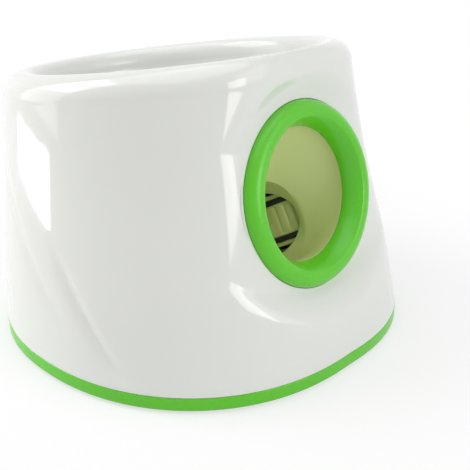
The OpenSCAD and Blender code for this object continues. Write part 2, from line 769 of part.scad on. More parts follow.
module flywheel(side) {
    color(CREAM) at_wheel(side) difference() {
        cylinder(h = wheel_w, r = drum_r, center = true);
        for (s = [-1, 1]) translate([0, 0, s > 0 ? web_half : -wheel_w / 2 - past])
            difference() {
                cylinder(h = wheel_w / 2 - web_half + past, r = drum_r - drum_wall);
                translate([0, 0, -past]) cylinder(h = wheel_w, r = hub_r);
            }
        for (s = [-1, 1]) translate([0, 0, s * tread_at]) difference() {
            cylinder(h = tread_w, r = drum_r + past, center = true);
            cylinder(h = tread_w + 2 * past, r = drum_r - tread_in, center = true);
        }
        for (i = [0:flutes - 1]) rotate([0, 0, 360 * i / flutes]) translate([drum_r + flute_out, 0, 0])
            cylinder(h = 2 * tread_at - tread_w - 2, r = flute_r, center = true, $fn = 24);
        cylinder(h = wheel_w + 2 * past, r = shaft_r, center = true);
    }
}

module tread_rings(side) {
    color(BLACK) at_wheel(side) for (s = [-1, 1]) translate([0, 0, s * tread_at]) difference() {
        cylinder(h = tread_w, r = wheel_r, center = true);
        cylinder(h = tread_w + 2 * past, r = drum_r - tread_in, center = true);
    }
}

mount_t = 2.5;
mount_gap = 2.5;
shaft_in = 6;        // how far the shaft reaches into the motor
shaft_short = 2;     // how far it stops inside the wheel's end
motor_boss_r = 4;
motor_screw_at = 9;
mount_top = -wheel_w / 2 - mount_gap;

module motor_shaft(side) {
    color(STEEL) at_wheel(side) translate([0, 0, mount_top - mount_t - shaft_in])
        cylinder(h = shaft_in + mount_t - mount_top + wheel_w / 2 - shaft_short, r = shaft_r);
}

module drive_motor(side) {
    color(STEEL) at_wheel(side) difference() {
        union() {
            translate([0, 0, mount_top - mount_t - motor_len]) cylinder(h = motor_len, r = motor_r);
            translate([0, 0, mount_top - mount_t - 0.5]) cylinder(h = mount_t + 0.3, r = motor_boss_r);
        }
        translate([0, 0, mount_top - mount_t - shaft_in - past])
            cylinder(h = 20, r = shaft_r + bore_gap);
        for (s = [-1, 1]) translate([s * motor_screw_at, 0, mount_top - mount_t - 5])
            cylinder(h = 20, r = screw_r + thread_gap);
    }
}

mount_half = motor_r + 4.5;
mount_reach = 20;    // half the length of the mount's top
leg_t = 2.5;
leg_in = 0.3;        // how far a leg stays inside the top's side
leg_low = 1.5;       // how far its edge stays under the top's
lug_half = 5;

module motor_mount(side) {
    rear = [-wheel_front + mount_top * sin(launch_deg) + mount_reach * cos(launch_deg),
        wheel_z + mount_top * cos(launch_deg) - mount_reach * sin(launch_deg)];
    front = rear + 2 * mount_reach * [-cos(launch_deg), sin(launch_deg)];
    color(CREAM) difference() {
        union() {
            at_wheel(side) box([-mount_half, -mount_reach, mount_top - mount_t],
                [mount_half, mount_reach, mount_top]);
            for (s = [-1, 1])
                translate([side * wheel_x + s * (mount_half - leg_in - leg_t / 2) - leg_t / 2, 0, 0])
                rotate([90, 0, 90]) linear_extrude(leg_t) polygon([
                    [rear[0], plate_top], [rear[0], rear[1] - leg_low],
                    [front[0], front[1] - leg_low], [front[0], plate_top]]);
            for (s = [-1, 1])
                translate([side * wheel_x + s * mount_half, rear[0] - 2 * lug_half, plate_top])
                box([-lug_half, -lug_half - past, 0], [lug_half, lug_half + past, cheek_t]);
        }
        at_wheel(side) translate([0, 0, mount_top - mount_t - 5])
            cylinder(h = 20, r = motor_boss_r + thread_gap);
        for (s = [-1, 1]) at_wheel(side)
            translate([s * motor_screw_at, 0, mount_top - mount_t - past])
            cylinder(h = 20, r = screw_r + thread_gap);
    }
}

module motor_screws() {
    color(STEEL) for (side = [-1, 1], s = [-1, 1]) at_wheel(side)
        translate([s * motor_screw_at, 0, 0]) {
            translate([0, 0, mount_top - mount_t - 4]) cylinder(h = 4 + mount_t, r = screw_r);
            translate([0, 0, mount_top]) cylinder(h = screw_head_h, r = small_head_r);
        }
}

// ---------------------------------------------------------------- electrics

board_t = 1.6;
board_y = post_y - fit_gap - board_t;
board_x = post_x + 6;
board_z0 = button_z - board_down;

module control_board() {
    color("darkgreen") difference() {
        box([-board_x, board_y, board_z0], [board_x, board_y + board_t, post_top]);
        for (s = [-1, 1], z = board_hole_zs)
            rod_y(board_y - past, board_y + board_t + past, s * post_x, z, screw_r + screw_gap);
    }
}

switch_y0 = board_y + board_t;
switch_half = 3;
switch_h = 2;
stem_play = 0.6;
stem_gap = button_travel + stem_play; // between the button's stem and the switch

// The board's parts: both sides, height over the board, and both ends from its lower edge.
chips = [[-30, -14, 4, 8, 24], [4, 12, 9, 12, 38], [18, 30, 12, 8, 26], [-8, -2, 4, 8, 44]];

module board_parts() {
    color(BLACK) union() {
        for (c = chips) box([c[0], board_y - c[2], board_z0 + c[3]], [c[1], board_y, board_z0 + c[4]]);
        box([-switch_half, switch_y0, button_z - switch_half],
            [switch_half, switch_y0 + switch_h, button_z + switch_half]);
    }
}

button_in = back_y - shell_wall - 9;
button_out = 2.5;
collar_t = 3;
collar_w = 1.4;
stem_r = 3;

module range_button() {
    color(GREEN) union() {
        rod_y(button_in + collar_t, back_y + button_out, 0, button_z, button_r);
        rod_y(button_in, button_in + collar_t, 0, button_z, button_r + collar_w);
        rod_y(switch_y0 + switch_h + stem_gap, button_in + past, 0, button_z, stem_r);
    }
}

// The spring: one wire wound around the button's stem.
spring_turns = 5;
wire_r = 0.45;
coil_r = 5;

function coil_point(k, y0, y1) =
    let (a = 360 * spring_turns * k)
    [coil_r * cos(a), y0 + (y1 - y0) * k, button_z + coil_r * sin(a)];

module button_spring() {
    n = spring_turns * 10;
    y0 = switch_y0 + wire_r + fit_gap;
    y1 = button_in - wire_r - fit_gap;
    ring = [for (k = [0:n]) let (p = coil_point(k / n, y0, y1)) let (a = 360 * spring_turns * k / n)
        [for (j = [0:5]) let (b = 60 * j)
            [p[0] + wire_r * cos(b) * cos(a), p[1] + wire_r * sin(b), p[2] + wire_r * cos(b) * sin(a)]]];
    points = [for (r = ring) each r];
    faces = concat(
        [for (k = [0:n - 1]) for (j = [0:5])
            let (a = k * 6 + j) let (b = k * 6 + (j + 1) % 6)
            each [[a, b + 6, b], [a, a + 6, b + 6]]],
        [for (j = [1:4]) [0, j, j + 1]],
        [for (j = [1:4]) [n * 6, n * 6 + j + 1, n * 6 + j]]);
    color(STEEL) polyhedron(points, faces, convexity = 8);
}

module button_bezel() {
    color(WHITE) difference() {
        union() {
            rod_y(button_in + collar_t + fit_gap, back_y + 1, 0, button_z, bezel_r - bezel_lap);
            rod_y(bezel_seat_y + fit_gap, back_y + 2, 0, button_z, bezel_r);
        }
        rod_y(back_y - 20, back_y + 20, 0, button_z, button_r + 0.2);
    }
}

module range_lights() {
    color(GREEN) for (x = light_xs) rod_y(back_y - light_len, back_y + 0.6, x, lights_z, light_r);
}

module speaker() {
    color(BLACK) union() {
        translate([speaker_x, speaker_y, plate_top]) cylinder(h = 3, r = speaker_r);
        translate([speaker_x, speaker_y, plate_top + 2]) cylinder(h = 5, r = 8);
    }
}

module dc_jack() {
    color(BLACK) difference() {
        union() {
            box([-jack_half, jack_y - jack_len, jack_z - jack_half],
                [jack_half, jack_y - shell_wall - 1, jack_z + jack_half]);
            rod_y(jack_y - shell_wall - 2, jack_y + 0.8, 0, jack_z, jack_r);
        }
        rod_y(jack_y - 9, jack_y + 5, 0, jack_z, jack_pin_r);
    }
}

cell_ys = [for (i = [0:2]) box_y + box_wall + cell_play + cell_r + i * (2 * cell_r + cell_gap)];
cell_cap = 2;
cell_half = (cell_len - cell_cap - cell_play) / 2;
cell_cap_r = 3;
contact_t = 0.8;
contact_half = 6;
contact_up = 8;

module battery_box() {
    color(WHITE) difference() {
        box([-box_x, box_y, plate_top], [box_x, box_y + box_d, box_top]);
        box([-box_x + box_wall, box_y + box_wall, plate_top - past],
            [box_x - box_wall, box_y + box_d - box_wall, box_top - box_wall]);
    }
}

module battery_cells() {
    color("orange") for (s = [-1, 1], y = cell_ys) union() {
        translate([s * (cell_play + cell_half), 0, 0])
            rod_x(-cell_half, cell_half, y, cell_z, cell_r);
        translate([s * (cell_len - cell_cap), 0, 0])
            rod_x(-cell_cap, cell_cap, y, cell_z, cell_cap_r);
    }
}

module battery_contacts() {
    x = box_x - box_wall;
    color(STEEL) for (s = [-1, 1], y = cell_ys)
        side_box(s, [x - contact_t, y - contact_half, cell_z - contact_up],
            [x, y + contact_half, cell_z + contact_up]);
}

grip_step = 6;
grip_half = 1;
grip_len = 10;
grip_in = 8;
grip_depth = 0.6;

module battery_door() {
    color(WHITE) difference() {
        box([-door_x + fit_gap, door_y0 + fit_gap, floor_z],
            [door_x - fit_gap, door_y1 - fit_gap, plate_top]);
        for (i = [-3:3]) translate([i * grip_step, door_y1 - grip_in, floor_z])
            box([-grip_half, -grip_len, -past], [grip_half, 0, grip_depth]);
    }
}

module rubber_feet() {
    color(BLACK) for (p = foot_xys) translate([p[0], p[1], 0])
        cylinder(h = floor_z + foot_in, r = foot_r);
}

module base_screws() {
    color(STEEL) for (t = boss_turns) translate([boss_at(t)[0], boss_at(t)[1], floor_z]) {
        cylinder(h = screw_head_h, r = screw_head_r);
        cylinder(h = 20, r = screw_r);
    }
}

module chamber_screws() {
    color(STEEL) {
        for (t = ear_turns) translate([ear_at(t)[0], ear_at(t)[1], plate_top]) {
            translate([0, 0, ear_t]) cylinder(h = screw_head_h, r = screw_head_r);
            cylinder(h = ear_t + past, r = screw_r);
        }
    }
}

module board_screws() {
    color(STEEL) for (s = [-1, 1], z = board_hole_zs) union() {
        rod_y(board_y, board_y + screw_len, s * post_x, z, screw_r);
        rod_y(board_y - screw_head_h, board_y, s * post_x, z, screw_head_r);
    }
}

module bracket_screws() {
    y = bracket_y + cheek_t;
    color(STEEL) for (s = [-1, 1]) union() {
        rod_y(y - screw_len, y, s * bracket_screw_x, bracket_screw_z, screw_r);
        rod_y(y, y + screw_head_h, s * bracket_screw_x, bracket_screw_z, small_head_r);
    }
}

main_shell();
base_trim();
base_plate();
hopper_bowl();
mouth_ring();
launch_barrel();
ball_chamber();
flywheel(-1);  // left_flywheel
flywheel(1);  // right_flywheel
tread_rings(-1);  // left_tread_rings
tread_rings(1);  // right_tread_rings
motor_shaft(-1);  // left_motor_shaft
motor_shaft(1);  // right_motor_shaft
drive_motor(-1);  // left_drive_motor
drive_motor(1);  // right_drive_motor
motor_mount(-1);  // left_motor_mount
motor_mount(1);  // right_motor_mount
feed_arm();
feed_shaft();
feed_gear();
feed_pinion();
feed_motor();
feed_bracket();
feed_bushes();
ball_sensor_lever();
sensor_pin();
sensor_switch();
control_board();
board_parts();
range_button();
button_spring();
button_bezel();
range_lights();
speaker();
dc_jack();
battery_box();
battery_cells();
battery_contacts();
battery_door();
rubber_feet();
base_screws();
motor_screws();
chamber_screws();
board_screws();
bracket_screws();
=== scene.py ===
"""Looks of the automatic dog ball launcher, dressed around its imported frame.

The frame gives every piece its place. This script adds the fine glossy shells, the mouth ring,
the funnel, the launch wheels, the controls on the back, the screws and the finish of every part,
and sets a plain studio.
"""

import json
import logging
from dataclasses import dataclass
from enum import Enum
from math import atan2, cos, degrees, exp, hypot, pi, radians, sin, tan, tau
from typing import Callable, Iterable, Mapping, Optional, Sequence

import bmesh
import bpy
from bmesh.types import BMEdge, BMesh, BMVert
from bpy.types import Material, Mesh, Node, NodeSocket, Object, World
from mathutils import Matrix, Vector

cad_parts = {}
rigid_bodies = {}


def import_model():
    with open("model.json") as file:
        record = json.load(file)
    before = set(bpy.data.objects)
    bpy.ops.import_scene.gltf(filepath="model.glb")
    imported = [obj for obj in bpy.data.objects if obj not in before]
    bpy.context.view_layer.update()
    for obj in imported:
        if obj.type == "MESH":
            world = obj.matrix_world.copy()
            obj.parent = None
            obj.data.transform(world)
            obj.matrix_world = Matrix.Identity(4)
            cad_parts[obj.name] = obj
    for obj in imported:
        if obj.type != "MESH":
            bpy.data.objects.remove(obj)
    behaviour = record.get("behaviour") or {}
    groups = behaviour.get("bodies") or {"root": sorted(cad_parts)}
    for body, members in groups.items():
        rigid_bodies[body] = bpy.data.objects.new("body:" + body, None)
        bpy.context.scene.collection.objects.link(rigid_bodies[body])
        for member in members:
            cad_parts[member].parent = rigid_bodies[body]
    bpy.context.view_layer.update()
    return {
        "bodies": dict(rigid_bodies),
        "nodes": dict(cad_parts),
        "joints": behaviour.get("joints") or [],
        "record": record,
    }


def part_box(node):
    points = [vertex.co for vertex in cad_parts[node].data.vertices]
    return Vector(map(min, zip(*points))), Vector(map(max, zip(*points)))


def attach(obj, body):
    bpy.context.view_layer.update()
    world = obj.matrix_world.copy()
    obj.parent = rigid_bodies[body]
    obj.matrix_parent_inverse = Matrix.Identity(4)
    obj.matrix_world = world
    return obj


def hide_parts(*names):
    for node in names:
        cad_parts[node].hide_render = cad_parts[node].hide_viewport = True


LOG = logging.getLogger("launcher")
SMOOTH_DEG = 40.0
WHITE = (1.0, 1.0, 1.0, 1.0)

# Lengths in metres: a millimetre, points that are one point, the longest edge of a sliver, and how
# far a cutter reaches past what it cuts.
MM = 0.001
WELD = 0.0001 * MM
SLIVER = 0.002 * MM
PAST = 30 * MM

Triple = tuple[float, float, float]
RingRule = Callable[[float], Vector]
Outline = Sequence[tuple[float, float]]
Inputs = Mapping[str | int, object]


# ---- finishes


class Graph:
    """Writes the node tree of a material or a world."""

    def __init__(self, owner: Material | World) -> None:
        """Turns on the owner's nodes and keeps their tree."""
        owner.use_nodes = True
        self.tree = owner.node_tree

    def add(self, kind: str, values: Optional[Inputs] = None, **traits: str) -> Node:
        """Adds a node.

        Args:
            kind: Its type, without the leading ShaderNode.
            values: What goes into its inputs.
            **traits: Its own settings, which are set first.

        Returns:
            The node.
        """
        node = self.tree.nodes.new("ShaderNode" + kind)
        for trait, value in traits.items():
            setattr(node, trait, value)
        self.fill(node, values or {})
        return node

    def fill(self, node: Node, values: Inputs) -> None:
        """Sets a node's inputs, or links them to the socket that is given as the value.

        Args:
            node: The node.
            values: Numbers, colours or sockets, by the input's name or place.
        """
        for key, value in values.items():
            if isinstance(value, NodeSocket):
                self.tree.links.new(value, node.inputs[key])
            else:
                node.inputs[key].default_value = value


class Grain(Enum):
    """A surface from close by: how far its roughness sways, and its stretch along z."""

    POLISHED = (0.15, 1.0)
    SATIN = (0.2, 1.0)
    TURNED = (0.45, 9.0)
    MATT = (0.12, 1.0)


@dataclass(frozen=True)
class Finish:
    """One procedural finish, in the linear colours of its real material; the barrel's colour holds a
    painted green reflection.

    Attributes:
        name: Name of the material.
        slot: The record's material slot; it is not used.
        nodes: The CAD nodes that it's on.
        colour: Main colour.
        tone: How far the colour varies.
        roughness: Mean roughness.
        grain: How it is from close by.
        ripple: Height of its waves in mm.
        ripple_size: Length of a wave in mm.
        metal: Share of metal.
        coat: Weight of the clear top layer.
        glow: How much light passes under the surface.
    """

    name: str
    slot: str
    nodes: str
    colour: Triple
    tone: float
    roughness: float
    grain: Grain
    ripple: float
    ripple_size: float
    metal: float = 0.0
    coat: float = 0.0
    glow: float = 0.0

    def shade(self, factor: float) -> tuple[float, float, float, float]:
        """Returns the colour scaled by factor, with full alpha."""
        return tuple(min(1.0, c * factor) for c in self.colour) + (1.0,)

    def material(self) -> Material:
        """Builds the finish's material, or returns the one that is there."""
        found = bpy.data.materials.get(self.name)
        if found is not None:
            return found
        made = bpy.data.materials.new(self.name)
        graph = Graph(made)
        sway, stretch = self.grain.value
        spot = graph.add("Mapping", {"Vector": graph.add("TexCoord").outputs["Object"],
                                     "Scale": (1.0, 1.0, stretch)}).outputs["Vector"]
        broad, fine = (
            graph.add("TexNoise", {"Vector": spot, "Scale": scale, "Detail": detail}).outputs["Fac"]
            for scale, detail in ((18.0, 3.0), (1000.0 / self.ripple_size, 2.0)))
        tint = graph.add("Mix", {"Factor": broad, "A": self.shade(1.0 - self.tone),
                                 "B": self.shade(1.0 + self.tone)}, data_type="RGBA")
        rough = graph.add("MapRange", {
            "Value": fine if self.grain in (Grain.TURNED, Grain.MATT) else broad,
            "From Min": 0.3, "From Max": 0.7,
            "To Min": self.roughness * (1.0 - sway), "To Max": self.roughness * (1.0 + sway)})
        bump = graph.add("Bump", {"Height": fine, "Strength": 1.0, "Distance": self.ripple * MM})
        graph.fill(graph.tree.nodes["Principled BSDF"], {
            "Base Color": tint.outputs["Result"], "Roughness": rough.outputs["Result"],
            "Normal": bump.outputs["Normal"], "Metallic": self.metal, "Coat Weight": self.coat,
            "Coat Roughness": 0.04, "Subsurface Weight": self.glow,
            "Subsurface Radius": (0.004, 0.004, 0.003), "Subsurface Scale": 1.0})
        return made


SHELL_WHITE = Finish(
    "glossy_white_shell", "shell_white", "main_shell button_bezel",
    (0.80, 0.81, 0.775), 0.012, 0.09, Grain.POLISHED, 0.006, 6.0, coat=0.35)
BOWL_WHITE = Finish(
    "glossy_white_bowl", "shell_white", "hopper_bowl",
    (0.78, 0.79, 0.76), 0.012, 0.16, Grain.POLISHED, 0.008, 5.0, coat=0.2)
TRIM_GREEN = Finish(
    "glossy_green", "trim_green", "base_trim mouth_ring range_button",
    (0.112, 0.585, 0.012), 0.04, 0.28, Grain.POLISHED, 0.01, 5.0)
# White moulding whose olive tint is painted light: the green reflected from the ring, painted into its
# colour.
BARREL_PAINTED_GREEN_REFLECTION = Finish(
    "white_moulding_painted_green_reflection", "barrel_cream",
    "launch_barrel ball_chamber left_flywheel right_flywheel left_motor_mount "
    "right_motor_mount feed_arm feed_bracket",
    (0.63, 0.69, 0.31), 0.04, 0.34, Grain.SATIN, 0.02, 3.0)
TREAD_BLACK = Finish(
    "tread_rubber", "tread_black", "left_tread_rings right_tread_rings",
    (0.012, 0.012, 0.012), 0.3, 0.62, Grain.MATT, 0.05, 0.8)
FOOT_GREY = Finish(
    "foot_rubber", "foot_grey", "rubber_feet",
    (0.035, 0.035, 0.035), 0.25, 0.7, Grain.MATT, 0.06, 1.0)
BRIGHT_STEEL = Finish(
    "turned_steel", "bright_steel",
    "left_motor_shaft right_motor_shaft feed_shaft feed_pinion "
    "ball_sensor_lever sensor_pin button_spring battery_contacts",
    (0.62, 0.62, 0.63), 0.05, 0.22, Grain.TURNED, 0.008, 0.8, metal=1.0)
SCREW_ZINC = Finish(
    "zinc_screw", "screw_zinc",
    "base_screws motor_screws chamber_screws board_screws bracket_screws",
    (0.46, 0.46, 0.47), 0.1, 0.35, Grain.TURNED, 0.01, 0.6, metal=1.0)
LIGHT_LENS = Finish(
    "green_light_lens", "light_lens", "range_lights",
    (0.22, 0.62, 0.14), 0.06, 0.15, Grain.POLISHED, 0.01, 1.0, glow=0.3)
FINISHES = (
    SHELL_WHITE, BOWL_WHITE, TRIM_GREEN, BARREL_PAINTED_GREEN_REFLECTION, TREAD_BLACK, FOOT_GREY, BRIGHT_STEEL,
    SCREW_ZINC, LIGHT_LENS,
    Finish("textured_white", "plate_white", "base_plate battery_box battery_door",
           (0.74, 0.74, 0.71), 0.03, 0.45, Grain.MATT, 0.05, 1.2),
    Finish("motor_can_steel", "can_steel", "left_drive_motor right_drive_motor feed_motor",
           (0.50, 0.50, 0.51), 0.08, 0.32, Grain.TURNED, 0.01, 1.2, metal=1.0),
    Finish("gear_nylon", "gear_nylon", "feed_gear",
           (0.78, 0.77, 0.71), 0.04, 0.4, Grain.SATIN, 0.02, 1.5, glow=0.1),
    Finish("inner_black_moulding", "inner_black",
           "feed_bushes sensor_switch board_parts speaker dc_jack",
           (0.02, 0.02, 0.021), 0.2, 0.42, Grain.MATT, 0.04, 1.0),
    Finish("solder_mask", "board_green", "control_board",
           (0.02, 0.13, 0.05), 0.12, 0.3, Grain.SATIN, 0.02, 2.0, coat=0.2),
    Finish("cell_wrap", "cell_wrap", "battery_cells",
           (0.16, 0.17, 0.19), 0.1, 0.25, Grain.POLISHED, 0.02, 3.0, coat=0.3),
)


# ---- mesh helpers


def smooth_step(x: float) -> float:
    """Returns a soft step from 0 at x = 0 to 1 at x = 1."""
    c = min(1.0, max(0.0, x))
    return c * c * (3.0 - 2.0 * c)


def crease_step(x: float, soft: float) -> float:
    """Returns a straight ramp from 0 to 1 whose ends are rounded over soft on each side."""
    def ramp(v: float) -> float:
        return 0.5 * (v + hypot(v, soft))
    return min(1.0, max(0.0, ramp(x) - ramp(x - 1.0)))


def spread(low: float, high: float, steps: int) -> list[float]:
    """Returns steps + 1 evenly spaced values from low to high."""
    return [low + (high - low) * i / steps for i in range(steps + 1)]


def polar(t: float, r: float, z: float = 0.0, y: float = 0.0) -> Vector:
    """Returns the point at direction t, radius r and height z about an axis at y."""
    return Vector((r * cos(t), y + r * sin(t), z))


def arc(r: float, high: float, end_deg: float, steps: int) -> Outline:
    """Returns (across, up) points of an arc from the side, r wide and high, to end_deg."""
    return [(r * cos(a), high * sin(a)) for a in spread(0.0, radians(end_deg), steps)]


def add_object(name: str, bm: BMesh, sharp_deg: float = SMOOTH_DEG) -> Object:
    """Turns a bmesh into a smooth shaded object with sharp edges kept.

    Args:
        name: Name of the piece.
        bm: Its mesh, which is freed.
        sharp_deg: Angle from which an edge stays sharp.

    Returns:
        The object.
    """
    mesh = bpy.data.meshes.new(name)
    bm.to_mesh(mesh)
    bm.free()
    piece = bpy.data.objects.new(name, mesh)
    bpy.context.scene.collection.objects.link(piece)
    smooth_mesh(mesh, sharp_deg)
    return piece


def smooth_mesh(mesh: Mesh, sharp_deg: float) -> None:
    """Shades a mesh smooth and marks its edges above sharp_deg as sharp."""
    mesh.polygons.foreach_set("use_smooth", [True] * len(mesh.polygons))
    mesh.set_sharp_from_angle(angle=radians(sharp_deg))


def lofted(
    name: str, rules: Sequence[RingRule], segments: int, sharp_deg: float = SMOOTH_DEG,
    frame: Optional[Matrix] = None
) -> Object:
    """Makes a closed piece from rings, each given by a rule from direction to point.

    Args:
        name: Name of the piece.
        rules: One rule for each ring, round the section and back.
        segments: Points in a ring.
        sharp_deg: Angle from which an edge stays sharp.
        frame: Where the piece is put, if not as it is.

    Returns:
        The piece.
    """
    bm = bmesh.new()
    turn = bm.verts.layers.float.new("turn")
    bmesh.ops.create_circle(bm, cap_ends=False, segments=segments, radius=1.0)
    for v in bm.verts:
        v[turn] = atan2(v.co.y, v.co.x)
        v.co = rules[0](v[turn])
    start = edges = list(bm.edges)
    for rule in rules[1:]:
        grown = bmesh.ops.extrude_edge_only(bm, edges=edges)["geom"]
        fresh = {g for g in grown if isinstance(g, BMVert)}
        edges = [g for g in grown if isinstance(g, BMEdge) and fresh.issuperset(g.verts)]
        for v in fresh:
            v.co = rule(v[turn])
    bmesh.ops.bridge_loops(bm, edges=start + edges)
    bmesh.ops.recalc_face_normals(bm, faces=bm.faces)
    if frame is not None:
        bm.transform(frame)
    return add_object(name, bm, sharp_deg)


def turned(
    frames: Iterable[Matrix], profile: Outline, steps: int = 128, closed: bool = True
) -> BMesh:
    """Turns a profile of (radius, height) points about the z axis of each frame.

    Args:
        frames: Where the turned parts are.
        profile: Points of the outline.
        steps: Steps in the full turn.
        closed: Whether the outline's last point joins its first.

    Returns:
        One mesh with all the parts.
    """
    bm = bmesh.new()
    for frame in frames:
        part, mesh = bmesh.new(), bpy.data.meshes.new("part")
        points = [part.verts.new((r, 0.0, z)) for r, z in profile]
        pairs = list(zip(points, points[1:]))
        if closed:
            pairs.append((points[-1], points[0]))
        edges = [part.edges.new(pair) for pair in pairs]
        bmesh.ops.spin(part, geom=points + edges, cent=(0.0, 0.0, 0.0), axis=(0.0, 0.0, 1.0),
                       angle=tau, steps=steps, use_merge=True)
        bmesh.ops.remove_doubles(part, verts=part.verts, dist=WELD)
        bmesh.ops.recalc_face_normals(part, faces=part.faces)
        part.transform(frame)
        part.to_mesh(mesh)
        part.free()
        bm.from_mesh(mesh)
        bpy.data.meshes.remove(mesh)
    return bm


def rounded(corners: Outline, radius: float, steps: int = 4) -> Outline:
    """Rounds each corner of a closed outline with a short curve.

    Args:
        corners: Corners of the outline.
        radius: How far from its corner a curve starts.
        steps: Steps in a curve.

    Returns:
        The rounded outline.
    """
    out = []
    for i, corner in enumerate(corners):
        here = Vector(corner)
        sides = [Vector(corners[k % len(corners)]) - here for k in (i - 1, i + 1)]
        reach = min([radius] + [side.length * 0.45 for side in sides])
        a, b = (here + side.normalized() * reach for side in sides)
        for k in spread(0.0, 1.0, steps):
            p = a * (1 - k) ** 2 + here * (2 * k * (1 - k)) + b * k ** 2
            out.append((p.x, p.y))
    return out


def drop_slivers(mesh: Mesh) -> None:
    """Closes a mesh's edges shorter than SLIVER and its faces without area."""
    bm = bmesh.new()
    bm.from_mesh(mesh)
    bmesh.ops.dissolve_degenerate(bm, dist=SLIVER, edges=bm.edges)
    ngons = [face for face in bm.faces if len(face.verts) > 4]
    bmesh.ops.triangulate(bm, faces=ngons, quad_method="BEAUTY", ngon_method="EAR_CLIP")
    bmesh.ops.dissolve_degenerate(bm, dist=SLIVER, edges=bm.edges)
    bm.to_mesh(mesh)
    bm.free()


def cut_away(piece: Object, cutters: Iterable[Object], solver: str = "EXACT") -> None:
    """Takes the cutters' space out of a piece and removes the cutters.

    Args:
        piece: The piece that is cut.
        cutters: Closed solids.
        solver: Name of Blender's solver for the cut.
    """
    for cutter in cutters:
        cut = piece.modifiers.new("cut", "BOOLEAN")
        cut.operation = "DIFFERENCE"
        cut.solver = solver
        cut.object = cutter
        bpy.context.view_layer.update()
        graph = bpy.context.evaluated_depsgraph_get()
        fresh = bpy.data.meshes.new_from_object(piece.evaluated_get(graph))
        drop_slivers(fresh)
        old = piece.data
        piece.modifiers.clear()
        piece.data = fresh
        bpy.data.meshes.remove(old)
        bpy.data.objects.remove(cutter)
    piece.data.name = piece.name
    smooth_mesh(piece.data, 35.0)


def cylinder(frame: Matrix, low: float, high: float, radius: float, segments: int = 96) -> Object:
    """Makes a plain closed cylinder along a frame's z axis, to cut with.

    Args:
        frame: Where its axis is.
        low: Where it starts along the axis.
        high: Where it ends.
        radius: Its radius.
        segments: Number of sides.

    Returns:
        The cylinder.
    """
    bm = bmesh.new()
    bmesh.ops.create_cone(bm, cap_ends=True, segments=segments, radius1=radius, radius2=radius,
                          depth=high - low,
                          matrix=frame @ Matrix.Translation((0, 0, (low + high) / 2)))
    return add_object("cutter", bm)


def dress(piece: Object, body: str, finish: Finish, *nodes: str) -> None:
    """Gives a piece its finish, its body and the CAD nodes that it stands for.

    Args:
        piece: The finished piece.
        body: The body that it moves with.
        finish: Its finish.
        *nodes: CAD nodes that it replaces.
    """
    piece.data.materials.clear()
    piece.data.materials.append(finish.material())
    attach(piece, body)
    if nodes:
        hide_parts(*nodes)
    LOG.info("%s: %d faces on %s", piece.name, len(piece.data.polygons), body)


# ---- the body's form


@dataclass(frozen=True)
class Groove:
    """One diagonal groove on the flank, in degrees from the front and millimetres of height.

    It lies at the direction at + slope * height. Its top and foot say where it ends and over how
    much height it fades there. Only its depth is in metres.
    """

    depth: float
    half: float
    at: float
    slope: float
    top: tuple[float, float]
    foot: tuple[float, float]

    def cut(self, d: float, h: float) -> float:
        """Returns its depth at d degrees from the front and h millimetres up."""
        across = (d - self.at - self.slope * h) / self.half
        (top, top_fade), (foot, foot_fade) = self.top, self.foot
        fade = smooth_step((top - h) / top_fade) * smooth_step((h - foot) / foot_fade)
        return self.depth * exp(-across ** 2) * fade


